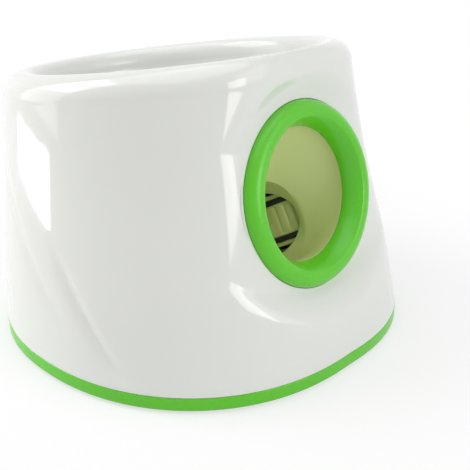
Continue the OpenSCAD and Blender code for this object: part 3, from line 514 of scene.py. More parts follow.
@dataclass(frozen=True)
class BodyForm:
    """The body's outer form, in metres and radians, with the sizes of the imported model."""

    base_r: float = 132.6 * MM
    base_forward: float = 2.6 * MM
    trim_top: float = 11 * MM
    rim_rx: float = 115.7 * MM
    rim_ry: float = 118.7 * MM
    rim_back: float = 17.2 * MM
    rim_z: float = 181.6 * MM
    rim_tilt: float = radians(7)
    rim_fillet: float = 14.7 * MM
    wall: float = 3 * MM
    hip_out: float = 5.5 * MM
    hip_top: float = 140 * MM
    hip_fade: float = 97 * MM
    hip_mid: float = 65.0
    hip_half: float = 95.0
    ledge_z: float = 40 * MM
    ledge_rise: float = 45 * MM
    ledge_blend: float = 22 * MM
    ledge_depth: float = 30 * MM
    ledge_spread: float = 50.0
    ledge_soft: float = 0.07
    skin: float = 0.05 * MM
    foot_power: float = 2.2
    grooves: tuple[Groove, ...] = (
        Groove(2.2 * MM, 2.3, 60.0, 0.286, (95.0, 35.0), (11.0, 14.0)),
        Groove(0.9 * MM, 3.0, 65.06, 0.42, (135.0, 30.0), (30.0, 30.0)))
    mouth_front: float = 99.7 * MM
    mouth_z: float = 109.4 * MM
    mouth_tilt: float = radians(13.4)
    face_blend: float = 0.055
    face_proud: float = 0.5 * MM
    face_top_in: float = 10 * MM
    dish_r: float = 61 * MM
    dish_blend: float = 18 * MM

    @staticmethod
    def from_front(t: float) -> float:
        """Returns the angle between direction t and the front, in degrees from 0 to 180."""
        d = abs((degrees(t) % 360.0) - 270.0)
        return min(d, 360.0 - d)

    def side_top(self, t: float) -> float:
        """Returns the height at which the side meets the rim's rounding."""
        return self.rim_z - self.rim_fillet - self.rim_ry * sin(t) * tan(self.rim_tilt)

    def hip(self, d: float, z: float) -> float:
        """Returns how far the hip stands out at d degrees from the front."""
        bulge = max(0.0, 1.0 - ((d - self.hip_mid) / self.hip_half) ** 2) ** 2
        return self.hip_out * bulge * smooth_step((self.hip_top - z) / self.hip_fade)

    def face_y(self, t: float, z: float, cy: float) -> float:
        """Returns the y of the flat front that carries the mouth, and of the ledge under it.

        Args:
            t: Direction about the z axis.
            z: Height.
            cy: The section's middle at that height.

        Returns:
            The y at which the front is cut flat.
        """
        lean = -self.mouth_front + (z - self.mouth_z) * tan(self.mouth_tilt) - self.face_proud
        limit = min(lean, self.face_top_in - self.rim_ry + self.rim_back)
        x = (lean - cy) * cos(t) / sin(t)
        reach = hypot(x, (z - self.mouth_z) / cos(self.mouth_tilt))
        flat = lean + (limit - lean) * smooth_step((reach - self.dish_r) / self.dish_blend)
        d = self.from_front(t)
        step = (self.ledge_z + self.ledge_rise * (d / self.ledge_spread) ** 2 - z) / self.ledge_blend + 0.5
        return flat - self.ledge_depth * crease_step(step, self.ledge_soft)

    def side_point(self, t: float, u: float, inset: float) -> Vector:
        """Returns a point on the side.

        Args:
            t: Direction about the z axis.
            u: Share of the height, from the trim to the rim.
            inset: Distance inside the surface.

        Returns:
            The point.
        """
        inset += self.skin
        z = self.trim_top + (self.side_top(t) - self.trim_top) * u
        d = self.from_front(t)
        n = self.foot_power + (2.0 - self.foot_power) * u
        c, s = cos(t), sin(t)
        round_r = (abs(c) ** n + abs(s) ** n) ** (-1.0 / n)
        out = self.hip(d, z) - sum(groove.cut(d, z / MM) for groove in self.grooves)
        rx = self.base_r + (self.rim_rx - self.base_r) * u + out
        ry = self.base_r + (self.rim_ry - self.base_r) * u + out
        cy = -self.base_forward * (1 - u) + self.rim_back * u
        along_y = ry * s * round_r
        flat = (self.face_y(t, z, cy) - cy) / along_y if along_y < -20 * MM else 9.0
        k = (1 + flat - hypot(1 - flat, self.face_blend)) / 2
        return Vector(((k * rx * round_r - inset) * c, cy + (k * ry * round_r - inset) * s, z))

    def crest_point(self, t: float, inset: float, drop: float) -> Vector:
        """Returns a point of the rim's crest, moved inwards by inset and down by drop."""
        reach = self.rim_fillet + inset
        return Vector(((self.rim_rx - reach) * cos(t),
                       self.rim_back + (self.rim_ry - reach) * sin(t),
                       self.side_top(t) + self.rim_fillet - drop))

    def rim_point(self, t: float, a: float) -> Vector:
        """Returns a point of the rim's rounding, at angle a from the side to the crest."""
        edge, top = self.side_point(t, 1.0, 0.0), self.crest_point(t, 0.0, 0.0)
        flat = top + (edge - top) * cos(a)
        return Vector((flat.x, flat.y, edge.z + self.rim_fillet * sin(a)))

    def mouth_frame(self) -> Matrix:
        """Returns the mouth's frame: z points outwards, y up, its plane is z = 0."""
        return Matrix.Translation((0, -self.mouth_front, self.mouth_z)) @ Matrix.Rotation(
            pi / 2 - self.mouth_tilt, 4, "X")


FORM = BodyForm()

# The mouth ring's radius, the ball's bore and its tube, and the y at which the ball waits.
RING_R = 58.3 * MM
BORE_R = 28.5 * MM
TUBE_R = 31 * MM
WAIT_Y = -11.27 * MM


def rear_frame(low: Vector, high: Vector, x: float = 0.0) -> Matrix:
    """Returns the frame at y = 0, at x and a box's middle height, whose z axis points back."""
    return Matrix.Translation((x, 0, (low.z + high.z) / 2)) @ Matrix.Rotation(-pi / 2, 4, "X")


# ---- shells


@dataclass
class OuterShell:
    """The white body shell and the green trim round its base."""

    segments: int = 288
    side_steps: int = 110
    rim_steps: int = 14
    seat_depth: float = 2.6 * MM
    seat_rim: float = 4.5 * MM
    seat_wall: float = 1.9 * MM
    seat_lap: float = 0.95 * MM
    hole_r: float = 49.5 * MM
    gap: float = 0.3 * MM
    trim_wall: float = 4 * MM
    jack_r: float = 5.8 * MM
    lip: Outline = ((1.4, 0.12), (2.8, 0.5), (4.0, 1.1), (5.0, 1.9), (5.8, 2.8), (6.35, 3.5),
                    (6.5, 3.9), (6.5, 12.0), (6.2, 12.4), (3.8, 12.0), (3.0, 5.0))

    def rings(self) -> list[RingRule]:
        """Returns the shell's rings, round the section and back."""
        rules = [lambda t: FORM.side_point(t, 0.0, 0.8 * MM)]
        for u in [0.0, 0.004] + spread(0.012, 1.0, self.side_steps):
            rules.append(lambda t, u=u: FORM.side_point(t, u, 0.0 if u else 0.25 * MM))
        rules += [lambda t, a=a: FORM.rim_point(t, a) for a in spread(0.0, pi / 2, self.rim_steps)[1:]]
        for inset, drop in self.lip:
            rules.append(lambda t, i=inset * MM, d=drop * MM: FORM.crest_point(t, i, d))
        return rules + [lambda t, u=u: FORM.side_point(t, u, FORM.wall) for u in spread(0.985, 0.0, 24)]

    def build_shell(self) -> None:
        """Makes the shell, and the seat behind the mouth ring that closes it round the barrel."""
        shell = lofted("body_shell", self.rings(), self.segments)
        mouth = FORM.mouth_frame()
        cut_away(shell, [cylinder(mouth, -self.seat_depth, PAST, RING_R + self.gap, 192),
                         cylinder(mouth, -40 * MM, PAST, self.hole_r, 160)] + self.rear_cutters())
        high, wide = -self.seat_depth, RING_R + self.gap
        low, lap, out = high - self.seat_rim, high + self.seat_lap, wide + self.seat_wall
        seat = add_object("mouth_seat", turned([mouth], [
            (self.hole_r, low), (out, low), (out, lap), (wide, lap), (wide, high),
            (self.hole_r, high)]))
        dress(seat, "root", SHELL_WHITE)
        dress(shell, "root", SHELL_WHITE, "main_shell")

    def rear_cutters(self) -> list[Object]:
        """Returns the cutters for the button, the lights and the jack."""
        bezel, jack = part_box("button_bezel"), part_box("dc_jack")
        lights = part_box("range_lights")
        radius = (bezel[1].x - bezel[0].x) / 2
        light_r = (lights[1].z - lights[0].z) / 2
        holes = [(bezel, 0.0, bezel[0].y - 4 * MM, radius - 1.7 * MM, 96),
                 (bezel, 0.0, bezel[1].y - 3 * MM, radius + self.gap, 96)]
        holes += [(lights, x, lights[0].y - 3 * MM, light_r + self.gap, 48)
                  for x in (lights[0].x + light_r, 0.0, lights[1].x - light_r)]
        holes.append((jack, 0.0, jack[1].y - 9 * MM, self.jack_r, 64))
        return [cylinder(rear_frame(low, high, x), start, high.y + PAST, r, sides)
                for (low, high), x, start, r, sides in holes]

    def build_trim(self) -> None:
        """Makes the green trim with its softly rounded edges."""
        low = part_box("base_trim")[0].z
        high = FORM.trim_top - 0.2 * MM
        section = rounded([(0.0, low), (0.0, high), (self.trim_wall, high), (self.trim_wall, low)],
                          1.1 * MM, 5)
        rules = [lambda t, i=inset, z=z: Vector((*FORM.side_point(t, 0.0, i).xy, z))
                 for inset, z in section]
        dress(lofted("green_trim", rules, self.segments, 60.0), "root", TRIM_GREEN, "base_trim")


@dataclass
class Hopper:
    """The bowl that takes the balls, with the neck that they drop through."""

    segments: int = 224
    floor_r: float = 74 * MM
    floor_y: float = 14 * MM
    floor_z: float = 138 * MM
    gap: float = 6.9 * MM
    wall: float = 2.5 * MM
    neck_top: float = 112.3 * MM
    floor_share: float = 0.4
    soft: float = 0.09
    edge: Outline = ((-0.25, 4.4), (-0.25, 3.9), (-0.1, 3.7), (0.6, 4.7), (1.3, 6.2), (1.9, 8.6),
                     (2.3, 11.5))

    def floor_point(self, t: float, inset: float, drop: float) -> Vector:
        """Returns a point of the ring where the bowl's floor meets its wall."""
        z = self.floor_z - self.floor_r * sin(t) * tan(FORM.rim_tilt) - drop
        return polar(t, self.floor_r - inset, z, self.floor_y)

    def inner_curve(self, t: float, k: float) -> Vector:
        """Returns a point of the bowl's inside, from the neck at k = 0 to the rim at k = 1."""
        corner = self.floor_point(t, 0.0, 0.0)
        if k < self.floor_share:
            s = k / self.floor_share
            neck = polar(t, BORE_R, self.neck_top + 1 * MM, WAIT_Y)
            return neck.lerp(corner, s - 0.05 * sin(tau * s))
        rim = FORM.crest_point(t, self.gap + self.wall, 15 * MM)
        return corner.lerp(rim, (k - self.floor_share) / (1 - self.floor_share))

    def inside_point(self, t: float, k: float) -> Vector:
        """Returns a point of the inside, softened where the floor turns up."""
        width = min(k - max(0.0, k - self.soft), min(1.0, k + self.soft) - k)
        parts = [self.inner_curve(t, k + width * q) for q in (-1.0, -0.5, 0.0, 0.5, 1.0)]
        return sum(parts, Vector()) / len(parts)

    def build(self) -> None:
        """Makes the bowl."""
        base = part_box("hopper_bowl")[0].z
        rules = [
            lambda t, r=r, z=z: polar(t, r, z, WAIT_Y)
            for r, z in ((BORE_R, base), (TUBE_R, base), (TUBE_R, self.neck_top - 2 * MM))]
        rules += [lambda t: self.floor_point(t, -1.5 * MM, self.wall + 0.5 * MM),
                  lambda t: FORM.crest_point(t, self.gap, 16 * MM)]
        for inset, drop in self.edge:
            rules.append(lambda t, i=inset * MM, d=drop * MM: FORM.crest_point(t, self.gap + i, d))
        rules += [lambda t, k=k: self.inside_point(t, k) for k in spread(1.0, 0.0, 60)]
        dress(lofted("ball_bowl", rules, self.segments, 50.0), "root", BOWL_WHITE, "hopper_bowl")


# ---- mouth


@dataclass
class Mouth:
    """The green ring and the funnel that leads from the wheels to it, white moulding with a painted green
    reflection as its olive tint.
    """

    hole_r: float = 42 * MM
    lip: float = 6 * MM
    lip_share: float = 0.46
    depth: float = 7.7 * MM
    back: float = 2.55 * MM
    collar_r: float = 49.2 * MM
    collar_len: float = 16 * MM
    cup_wall: float = 2.1 * MM
    gap: float = 0.3 * MM
    launch: float = radians(29)
    wheel_front: float = 48 * MM
    wheel_z: float = 69.3 * MM
    wheel_x: float = 50 * MM
    wheel_r: float = 27 * MM
    wheel_w: float = 36.4 * MM
    wheel_room: float = 2 * MM
    window_r: float = 22.5 * MM
    funnel_end: float = 26 * MM
    barrel_back: float = 42 * MM

    def wheels_frame(self) -> Matrix:
        """Returns the wheels' frame: -y is the way that the ball leaves, z the wheels' axes."""
        return Matrix.Translation((0, -self.wheel_front, self.wheel_z)) @ Matrix.Rotation(
            -self.launch, 4, "X")

    def build_ring(self) -> None:
        """Makes the green ring: a round lip, a cone that leads in and a collar behind."""
        lip_r = (RING_R - self.hole_r) * self.lip_share
        cup = self.hole_r + self.cup_wall + self.gap
        profile = [(self.collar_r, -self.back), (RING_R - 0.4 * MM, -self.back),
                   (RING_R, -self.back + 0.4 * MM)]
        profile += [(RING_R - lip_r + x, self.lip - lip_r + y)
                    for x, y in arc(lip_r, lip_r, 117, 26)]
        profile += [(self.hole_r + x * MM, -self.depth + y * MM)
                    for x, y in ((1.0, 3.0), (0.25, 0.9), (0.1, 0.3), (0.35, 0.0))]
        profile += [(cup, -self.depth), (cup, -self.collar_len), (self.collar_r, -self.collar_len)]
        ring = add_object("mouth_ring_fine", turned([FORM.mouth_frame()], profile, 192), 50.0)
        dress(ring, "root", TRIM_GREEN, "mouth_ring")

    def cup_rule(self, depth: float, r: float) -> RingRule:
        """Returns a ring of the cup, at a depth behind the mouth's plane."""
        mouth = FORM.mouth_frame()
        return lambda t: mouth @ polar(t, r, -depth)

    def barrel_rule(self, s: float, r: float) -> RingRule:
        """Returns a ring of the straight barrel, s behind the wheels' axes."""
        frame = self.wheels_frame() @ Matrix.Translation((0, s, 0)) @ Matrix.Rotation(
            pi / 2, 4, "X")
        return lambda t: frame @ polar(t, r)

    def section(self, k: float, wall: float) -> RingRule:
        """Returns a funnel's ring, k of the way from mouth to barrel and wall outside the bore."""
        start, end = (self.cup_rule(self.collar_len + self.gap, self.hole_r + wall),
                      self.barrel_rule(-self.funnel_end, BORE_R + wall))
        return lambda t: start(t).lerp(end(t), k)

    def flowing(self, k: float) -> RingRule:
        """Returns a ring of the bore, which runs smoothly from the cup to the barrel."""
        start, corner, end = (self.cup_rule(self.depth + self.gap, self.hole_r),
                              self.section(0.0, 0.0), self.section(1.0, 0.0))
        return lambda t: (start(t) * (1 - k) ** 2 + corner(t) * (2 * k * (1 - k)) + end(t) * k ** 2)

    def build_barrel(self) -> None:
        """Makes the funnel and barrel with the round windows for the wheels, in white moulding with a
        painted green reflection as its olive tint.
        """
        front = self.depth + self.gap
        wall, straight = self.cup_wall, TUBE_R - BORE_R
        tube = (-self.funnel_end + 2 * MM, self.barrel_back)
        outer = [self.cup_rule(front, self.hole_r + wall)]
        outer += [self.section(k, wall + (straight - wall) * k) for k in spread(0.0, 1.0, 10)]
        outer += [self.barrel_rule(s, TUBE_R) for s in spread(*tube, 6)]
        inner = [self.cup_rule(front, self.hole_r + 0.3 * MM),
                 self.cup_rule(front + 0.5 * MM, self.hole_r)]
        inner += [self.flowing(k) for k in spread(0.04, 1.0, 32)]
        inner += [self.barrel_rule(s, BORE_R) for s in spread(*tube, 12)]
        barrel = lofted("barrel_funnel", outer + inner[::-1], 192)
        cut_away(barrel, self.barrel_cutters())
        dress(barrel, "root", BARREL_PAINTED_GREEN_REFLECTION, "launch_barrel")

    def barrel_cutters(self) -> list[Object]:
        """Returns the solids that make room for the wheels and the chamber."""
        frame = self.wheels_frame()
        upright = Matrix.Translation((0, WAIT_Y, 0))
        cuts = [cylinder(upright, -10 * MM, 190 * MM, TUBE_R + self.gap, 128)]
        half = self.wheel_w / 2 + self.wheel_room
        for side in (-1, 1):
            axle = frame @ Matrix.Translation((side * self.wheel_x, 0, 0))
            across = frame @ Matrix.Rotation(side * pi / 2, 4, "Y")
            cuts += [cylinder(axle, -half, half, self.wheel_r + self.wheel_room, 128),
                     cylinder(across, 15 * MM, 60 * MM, self.window_r)]
        return cuts


@dataclass
class LaunchWheel:
    """One launch wheel: a fluted drum with a disc inside, and its two rubber rings."""

    side: int
    mouth: Mouth
    segments: int = 240
    flutes: int = 24
    flute_depth: float = 0.85 * MM
    flute_half: float = 10 * MM
    edge: float = 0.6 * MM
    bevel: float = 0.2 * MM
    drum_r: float = 26.2 * MM
    drum_wall: float = 6 * MM
    web_half: float = 4 * MM
    hub_r: float = 6 * MM
    shaft_r: float = 1.5 * MM
    tread_at: float = 13 * MM
    tread_half: float = 2 * MM
    tread_in: float = 2.5 * MM
    tread_play: float = 0.05 * MM

    def build(self) -> None:
        """Makes the drum and its two rings."""
        name = "right" if self.side > 0 else "left"
        axle = self.mouth.wheels_frame() @ Matrix.Translation(
            (self.side * self.mouth.wheel_x, 0, 0))
        drum = lofted(f"{name}_wheel_drum", self.drum_rings(), self.segments, 32.0, axle)
        # The drum takes the barrel's colour, white moulding with a painted green reflection as its olive
        # tint.
        dress(drum, f"{name}_wheel", BARREL_PAINTED_GREEN_REFLECTION, f"{name}_flywheel")
        half = self.tread_half - self.tread_play
        seat, top = self.drum_r - self.tread_in, self.mouth.wheel_r
        section = rounded([(seat, -half), (seat, half), (top, half), (top, -half)], 0.7 * MM, 3)
        frames = [axle @ Matrix.Translation((0, 0, at)) for at in (-self.tread_at, self.tread_at)]
        rings = add_object(f"{name}_wheel_rubber", turned(frames, section, 144))
        dress(rings, f"{name}_wheel", TREAD_BLACK, f"{name}_tread_rings")

    def fluted(self, t: float, z: float, depth: float) -> Vector:
        """Returns a point of the drum's skin, with flutes of that depth."""
        wave = 0.5 + 0.5 * cos(self.flutes * t)
        return polar(t, self.drum_r - depth * wave ** 4, z)

    def drum_rings(self) -> list[RingRule]:
        """Returns the rings of the flutes, then of the seats, the end and the hub on each side."""
        e, web, hub, shaft = self.edge, self.web_half, self.hub_r, self.shaft_r
        end, skin = self.mouth.wheel_w / 2, self.drum_r
        inner, seat = skin - self.drum_wall, skin - self.tread_in
        low, high = self.tread_at - self.tread_half, self.tread_at + self.tread_half
        upper = [(skin, low - e), (skin - self.bevel, low), (seat, low), (seat, high),
                 (skin - self.bevel, high), (skin, high + e), (skin, end - e), (skin - e, end),
                 (inner + e, end), (inner, end - e), (inner, web + e), (inner - e, web),
                 (hub + e, web), (hub, web + e), (hub, end - e), (hub - e, end), (shaft + e, end),
                 (shaft, end - e)]
        rules = [
            lambda t, z=z, d=d: self.fluted(t, z, d)
            for z, d in ((-self.flute_half, 0.0), (-self.flute_half + e, self.flute_depth),
                         (self.flute_half - e, self.flute_depth), (self.flute_half, 0.0))]
        sides = upper + [(r, -z) for r, z in reversed(upper)]
        return rules + [lambda t, r=r, z=z: polar(t, r, z) for r, z in sides]


# ---- back and underside


class RearPanel:
    """The range button with its bezel, the three lights and the power inlet."""

    def build(self) -> None:
        """Makes and dresses the fine pieces of the back."""
        self.build_button()
        self.build_bezel()
        self.build_lights()
        self.build_jack()

    @staticmethod
    def measures(node: str) -> tuple[Vector, Vector, float]:
        """Returns a node's two corners and half its width."""
        low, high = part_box(node)
        return low, high, (high.x - low.x) / 2

    def build_button(self) -> None:
        """Makes the button: a dished cap on a stem with a collar."""
        low, high, collar_r = self.measures("range_button")
        cap_r = collar_r - 1.4 * MM
        base = high.y - 14.5 * MM
        soft, deep, stem, middle = 1.2 * MM, 0.7 * MM, 3 * MM, 0.3 * MM
        profile = [(middle, low.y), (stem, low.y), (stem, base), (collar_r, base),
                   (collar_r, base + 3 * MM), (cap_r, base + 3 * MM)]
        profile += [(cap_r - soft + x, high.y - soft + y) for x, y in arc(soft, soft, 90, 6)]
        profile += [(r * cap_r, high.y - deep * (1 - (r / 0.8) ** 2)) for r in spread(0.8, 0.04, 10)]
        profile.append((middle, high.y - deep))
        frame = rear_frame(low, high)
        button = add_object("range_button_cap", turned([frame], profile, 96))
        dress(button, "button", TRIM_GREEN, "range_button")

    def build_bezel(self) -> None:
        """Makes the white bezel round the button."""
        low, high, r = self.measures("button_bezel")
        bore = self.measures("range_button")[2] - 1.2 * MM
        seat = high.y - 2.7 * MM
        profile = rounded([(bore, low.y), (r - 2 * MM, low.y), (r - 2 * MM, seat), (r, seat),
                           (r, high.y - 1.2 * MM), (r - 1.4 * MM, high.y), (bore + 0.6 * MM, high.y),
                           (bore, high.y - 0.8 * MM)], 0.4 * MM)
        bezel = add_object("button_bezel_fine", turned([rear_frame(low, high)], profile))
        dress(bezel, "root", SHELL_WHITE, "button_bezel")

    @staticmethod
    def build_lights() -> None:
        """Makes the three domed lenses as one piece."""
        low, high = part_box("range_lights")
        r = (high.z - low.z) / 2
        profile = [(0.1 * MM, low.y), (r, low.y)]
        profile += [(x, high.y - 0.9 * MM + y) for x, y in arc(r, 0.9 * MM, 84, 8)]
        profile.append((0.1 * MM, high.y))
        frames = [rear_frame(low, high, x) for x in (low.x + r, 0.0, high.x - r)]
        lenses = add_object("range_light_lenses", turned(frames, profile, 48))
        dress(lenses, "root", LIGHT_LENS, "range_lights")

    @staticmethod
    def build_jack() -> None:
        """Makes the pin inside the power inlet."""
        low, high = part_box("dc_jack")
        r, middle, base = 0.9 * MM, 0.05 * MM, high.y - 9.5 * MM
        profile = [(middle, base), (r, base)]
        profile += [(x, high.y - 2.5 * MM + y) for x, y in arc(r, r, 80, 6)]
        profile.append((middle, high.y - 1.6 * MM))
        frame = rear_frame(low, high)
        dress(add_object("jack_pin", turned([frame], profile, 32)), "root", BRIGHT_STEEL)


@dataclass
class Feet:
    """Rubber feet with rounded edges and a shallow dish below."""

    foot_r: float = 9 * MM
    foot_top: float = 3.3 * MM
    dish: float = 0.5 * MM
    middle: float = 0.1 * MM

    def build(self) -> None:
        """Makes the four feet as one piece."""
        low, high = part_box("rubber_feet")
        r, top = self.foot_r, self.foot_top
        profile = rounded([(self.middle, self.dish), (r * 0.62, self.dish), (r * 0.72, 0.0),
                           (r, 0.0), (r, top), (self.middle, top)], 0.45 * MM, 3)
        frames = [Matrix.Translation((x, y, low.z))
                  for x in (low.x + r, high.x - r) for y in (low.y + r, high.y - r)]
        feet = add_object("feet_fine", turned(frames, profile, 64))
        dress(feet, "root", FOOT_GREY, "rubber_feet")


@dataclass
class ScrewSet:
    """The screws in place of one CAD node's: a thread, and a domed, crossed head towards axis."""

    node: str
    axis: Vector
    head_r: float
    head_h: float = 1.8 * MM
    dome: float = 0.7 * MM
    shank_r: float = 1.5 * MM
    neck: float = 0.6 * MM
    pitch: float = 1.0 * MM
    thread_depth: float = 0.3 * MM
    slot_half: float = 0.35 * MM
    slot_depth: float = 1.0 * MM

    def places(self, solid: Object) -> tuple[list[Vector], float]:
        """Finds the node's screws, which are alike and stand apart.

        Args:
            solid: The CAD node's object.

        Returns:
            The middles of their heads' tops, and their length.
        """
        left = [v.co.copy() for v in solid.data.vertices]
        middles, length = [], 0.0
        while left:
            away = [(c - left[0]).cross(self.axis).length - 2.2 * self.head_r for c in left]
            near = [c for c, a in zip(left, away) if a < 0.0]
            left = [c for c, a in zip(left, away) if a >= 0.0]
            along = [c.dot(self.axis) for c in near]
            high, length = max(along), max(along) - min(along)
            top = [c for c, a in zip(near, along) if a > high - 0.01 * MM]
            ends = [Vector([pick(c[i] for c in top) for i in range(3)]) for pick in (min, max)]
            middles.append(ends[0].lerp(ends[1], 0.5))
        return middles, length

    def profile(self, length: float) -> Outline:
        """Returns a screw's outline, with the middle of the head's top at height 0."""
        out = [(0.0, 0.0)]
        out += [(x, y - self.dome) for x, y in reversed(arc(self.head_r, self.dome, 80, 6))]
        out += [(self.head_r, -self.head_h), (self.shank_r, -self.head_h)]
        for i in range(int((length - self.head_h - 2 * self.neck) / self.pitch)):
            z = -self.head_h - self.neck - i * self.pitch
            out += [(self.shank_r, z), (self.shank_r - self.thread_depth, z - self.pitch / 2)]
        return out + [(self.shank_r * 0.4, -length), (0.0, -length)]

    def build(self, solid: Object) -> None:
        """Makes the screws as one piece.

        Args:
            solid: The CAD node's object.
        """
        turn = self.axis.to_track_quat("Z", "Y").to_matrix().to_4x4()
        middles, length = self.places(solid)
        frames = [Matrix.Translation(middle) @ turn for middle in middles]
        screws = add_object(f"{self.node}_fine", turned(frames, self.profile(length), 32, False))
        cut_away(screws, [self.crosses(frames)], "MANIFOLD")
        dress(screws, "root", SCREW_ZINC, self.node)

    def crosses(self, frames: Sequence[Matrix]) -> Object:
        """Makes the crosses that are cut out of the heads.

        Args:
            frames: Where the heads' tops are.

        Returns:
            The cutter.
        """
        reach, half, deep = self.head_r * 0.58, self.slot_half, self.slot_depth
        corner = ((reach, -half, -deep), (reach, half, -deep), (half, half, -deep))
        turns = [Matrix.Rotation(k * pi / 2, 4, "Z") for k in range(4)]
        points = [turn @ Vector(c) for turn in turns for c in corner]
        bm = bmesh.new()
        bases = [bm.faces.new([bm.verts.new(frame @ p) for p in points]) for frame in frames]
        risen = bmesh.ops.extrude_face_region(bm, geom=bases)
        verts = [v for v in risen["geom"] if isinstance(v, BMVert)]
        bmesh.ops.translate(bm, verts=verts, vec=self.axis * 2 * deep)
        bmesh.ops.recalc_face_normals(bm, faces=bm.faces)
        return add_object("cutter", bm)


# ---- studio


@dataclass(frozen=True)
class Lamp:
    """One soft lamp of the studio, in metres and watts.

    Its place is given in the camera's right, towards and up directions, and its width may be split
    into panes.
    """

    name: str
    place: Triple
    size: tuple[float, float]
    power: float
    panes: int = 1
    aim: Triple = (0.0, 0.0, 0.1)


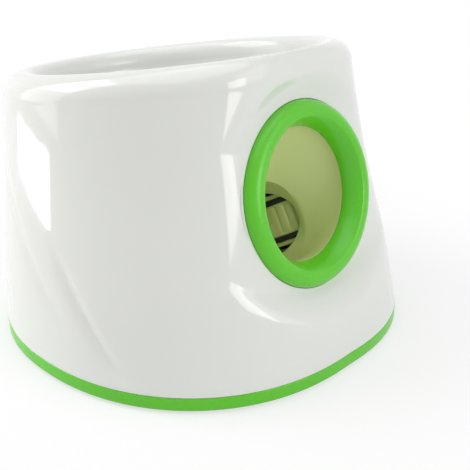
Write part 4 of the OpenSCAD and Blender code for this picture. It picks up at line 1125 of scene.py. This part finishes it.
@dataclass
class Studio:
    """The camera, the pale floor and the soft lamps."""

    eye: Triple = (-0.37789, -0.38589, 0.27632)
    forward: Triple = (0.67837, 0.62817, -0.38107)
    right: Triple = (0.67964, -0.73354, 0.00066)
    lens: float = 62.02
    floor_r: float = 9.0
    white_from: float = 0.13
    white_at: float = 0.36
    white_near: float = 0.65
    world_level: float = 0.36
    pane_share: float = 0.9
    lamps: tuple[Lamp, ...] = (
        Lamp("overhead", (-0.1, 0.1, 1.5), (1.6, 1.6), 9.0),
        Lamp("left_window", (-1.3, -0.12, 1.3), (1.1, 1.0), 9.0, panes=2),
        Lamp("left_wall", (-1.2, -0.08, 0.5), (0.83, 1.0), 2.8),
        Lamp("left_sill", (-0.584, -0.054, 0.045), (0.31, 0.05), 0.4, panes=3),
        Lamp("right_fill", (1.4, 0.6, 0.8), (1.0, 1.2), 3.5),
        Lamp("mouth_fill", (0.9, 0.75, 0.42), (0.5, 0.5), 2.5),
    )

    def build_camera(self) -> None:
        """Sets up the camera at the photographed angle."""
        data = bpy.data.cameras.new("camera")
        data.sensor_width = 36.0
        data.lens = self.lens
        camera = bpy.data.objects.new("camera", data)
        right, forward = Vector(self.right), Vector(self.forward)
        turn = Matrix((right, right.cross(forward), -forward)).transposed().to_4x4()
        camera.matrix_world = Matrix.Translation(self.eye) @ turn
        bpy.context.scene.collection.objects.link(camera)
        bpy.context.scene.camera = camera

    def build_floor(self) -> None:
        """Makes the plain pale floor, which turns white to the eye away from the object."""
        bm = bmesh.new()
        bmesh.ops.create_circle(bm, cap_ends=True, segments=64, radius=self.floor_r)
        floor = add_object("studio_floor", bm)
        made = bpy.data.materials.new("floor_white")
        graph = Graph(made)
        shader = graph.tree.nodes["Principled BSDF"]
        graph.fill(shader, {"Base Color": (0.92, 0.92, 0.92, 1.0), "Roughness": 0.9,
                            "Specular IOR Level": 0.1})
        reach = graph.add("VectorMath", {0: graph.add("TexCoord").outputs["Object"]},
                          operation="LENGTH")
        share = graph.add("MapRange", {
            "Value": reach.outputs["Value"], "From Min": self.white_from, "From Max": self.white_at,
            "To Min": self.white_near, "To Max": 1.0}, interpolation_type="SMOOTHSTEP")
        masked = graph.add("Math", {0: share.outputs["Result"], 1: self.eye_mask(graph)},
                           operation="MULTIPLY")
        blend = graph.add("MixShader", {"Fac": masked.outputs[0], 1: shader.outputs["BSDF"],
                                        2: graph.add("Emission").outputs["Emission"]})
        graph.fill(graph.tree.nodes["Material Output"], {"Surface": blend.outputs["Shader"]})
        floor.data.materials.append(made)

    @staticmethod
    def eye_mask(graph: Graph) -> NodeSocket:
        """Returns 1 for the eye, for reflections and through glass, and 0 for light."""
        path = graph.add("LightPath")
        seen = path.outputs["Is Camera Ray"]
        for ray in ("Is Transmission Ray", "Is Glossy Ray"):
            seen = graph.add("Math", {0: seen, 1: path.outputs[ray]}, operation="MAXIMUM").outputs[0]
        return seen

    def build_world(self) -> None:
        """Makes the world: white to the eye and in reflections, softer as a light."""
        world = bpy.data.worlds.new("studio")
        bpy.context.scene.world = world
        graph = Graph(world)
        graph.tree.nodes.clear()
        level = graph.add("MapRange", {"Value": self.eye_mask(graph), "To Min": self.world_level,
                                       "To Max": 1.0})
        shine = graph.add("Background", {"Color": WHITE, "Strength": level.outputs["Result"]})
        graph.add("OutputWorld", {"Surface": shine.outputs["Background"]})

    def build_lamps(self) -> None:
        """Places the soft lamps by the camera's own directions."""
        side = Vector((*self.right[:2], 0.0)).normalized()
        towards = -Vector((*self.forward[:2], 0.0)).normalized()
        for lamp in self.lamps:
            place = side * lamp.place[0] + towards * lamp.place[1] + Vector((0, 0, lamp.place[2]))
            facing = (Vector(lamp.aim) - place).to_track_quat("-Z", "Y").to_matrix().to_4x4()
            step = lamp.size[0] / lamp.panes
            for i in range(lamp.panes):
                data = bpy.data.lights.new(lamp.name, "AREA")
                data.shape = "RECTANGLE"
                data.size = step * (self.pane_share if lamp.panes > 1 else 1.0)
                data.size_y = lamp.size[1]
                data.energy = lamp.power / lamp.panes
                light = bpy.data.objects.new(lamp.name, data)
                shift = Matrix.Translation(((i - (lamp.panes - 1) / 2) * step, 0, 0))
                light.matrix_world = Matrix.Translation(place) @ facing @ shift
                bpy.context.scene.collection.objects.link(light)

    def build(self) -> None:
        """Builds the floor, the world and the lamps."""
        self.build_floor()
        self.build_world()
        self.build_lamps()
        bpy.context.scene.view_settings.view_transform = "Standard"


# ---- the whole


def finish_frame(nodes: Mapping[str, Object]) -> None:
    """Gives every CAD node its finish.

    Args:
        nodes: The frame's objects by name.
    """
    for finish in FINISHES:
        for name in finish.nodes.split():
            piece = nodes[name]
            if not piece.material_slots:
                piece.data.materials.append(finish.material())
            for slot in piece.material_slots:
                slot.material = finish.material()


def main() -> None:
    """Builds the camera, the pieces and the studio in order."""
    logging.basicConfig(level=logging.INFO, format="%(message)s")
    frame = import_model()
    nodes = frame["nodes"]
    studio = Studio()
    studio.build_camera()
    finish_frame(nodes)
    shell = OuterShell()
    shell.build_shell()
    shell.build_trim()
    Hopper().build()
    mouth = Mouth()
    mouth.build_ring()
    mouth.build_barrel()
    RearPanel().build()
    for side in (-1, 1):
        LaunchWheel(side, mouth).build()
    Feet().build()
    tilted = mouth.wheels_frame().to_3x3() @ Vector((0, 0, 1))
    for node, axis, head_r in (
            ("base_screws", (0, 0, -1), 2.9), ("chamber_screws", (0, 0, 1), 2.9),
            ("board_screws", (0, -1, 0), 2.9), ("bracket_screws", (0, 1, 0), 2.5),
            ("motor_screws", tilted, 2.5)):
        ScrewSet(node, Vector(axis), head_r * MM).build(nodes[node])
    studio.build()


if __name__ == "__main__":
    main()
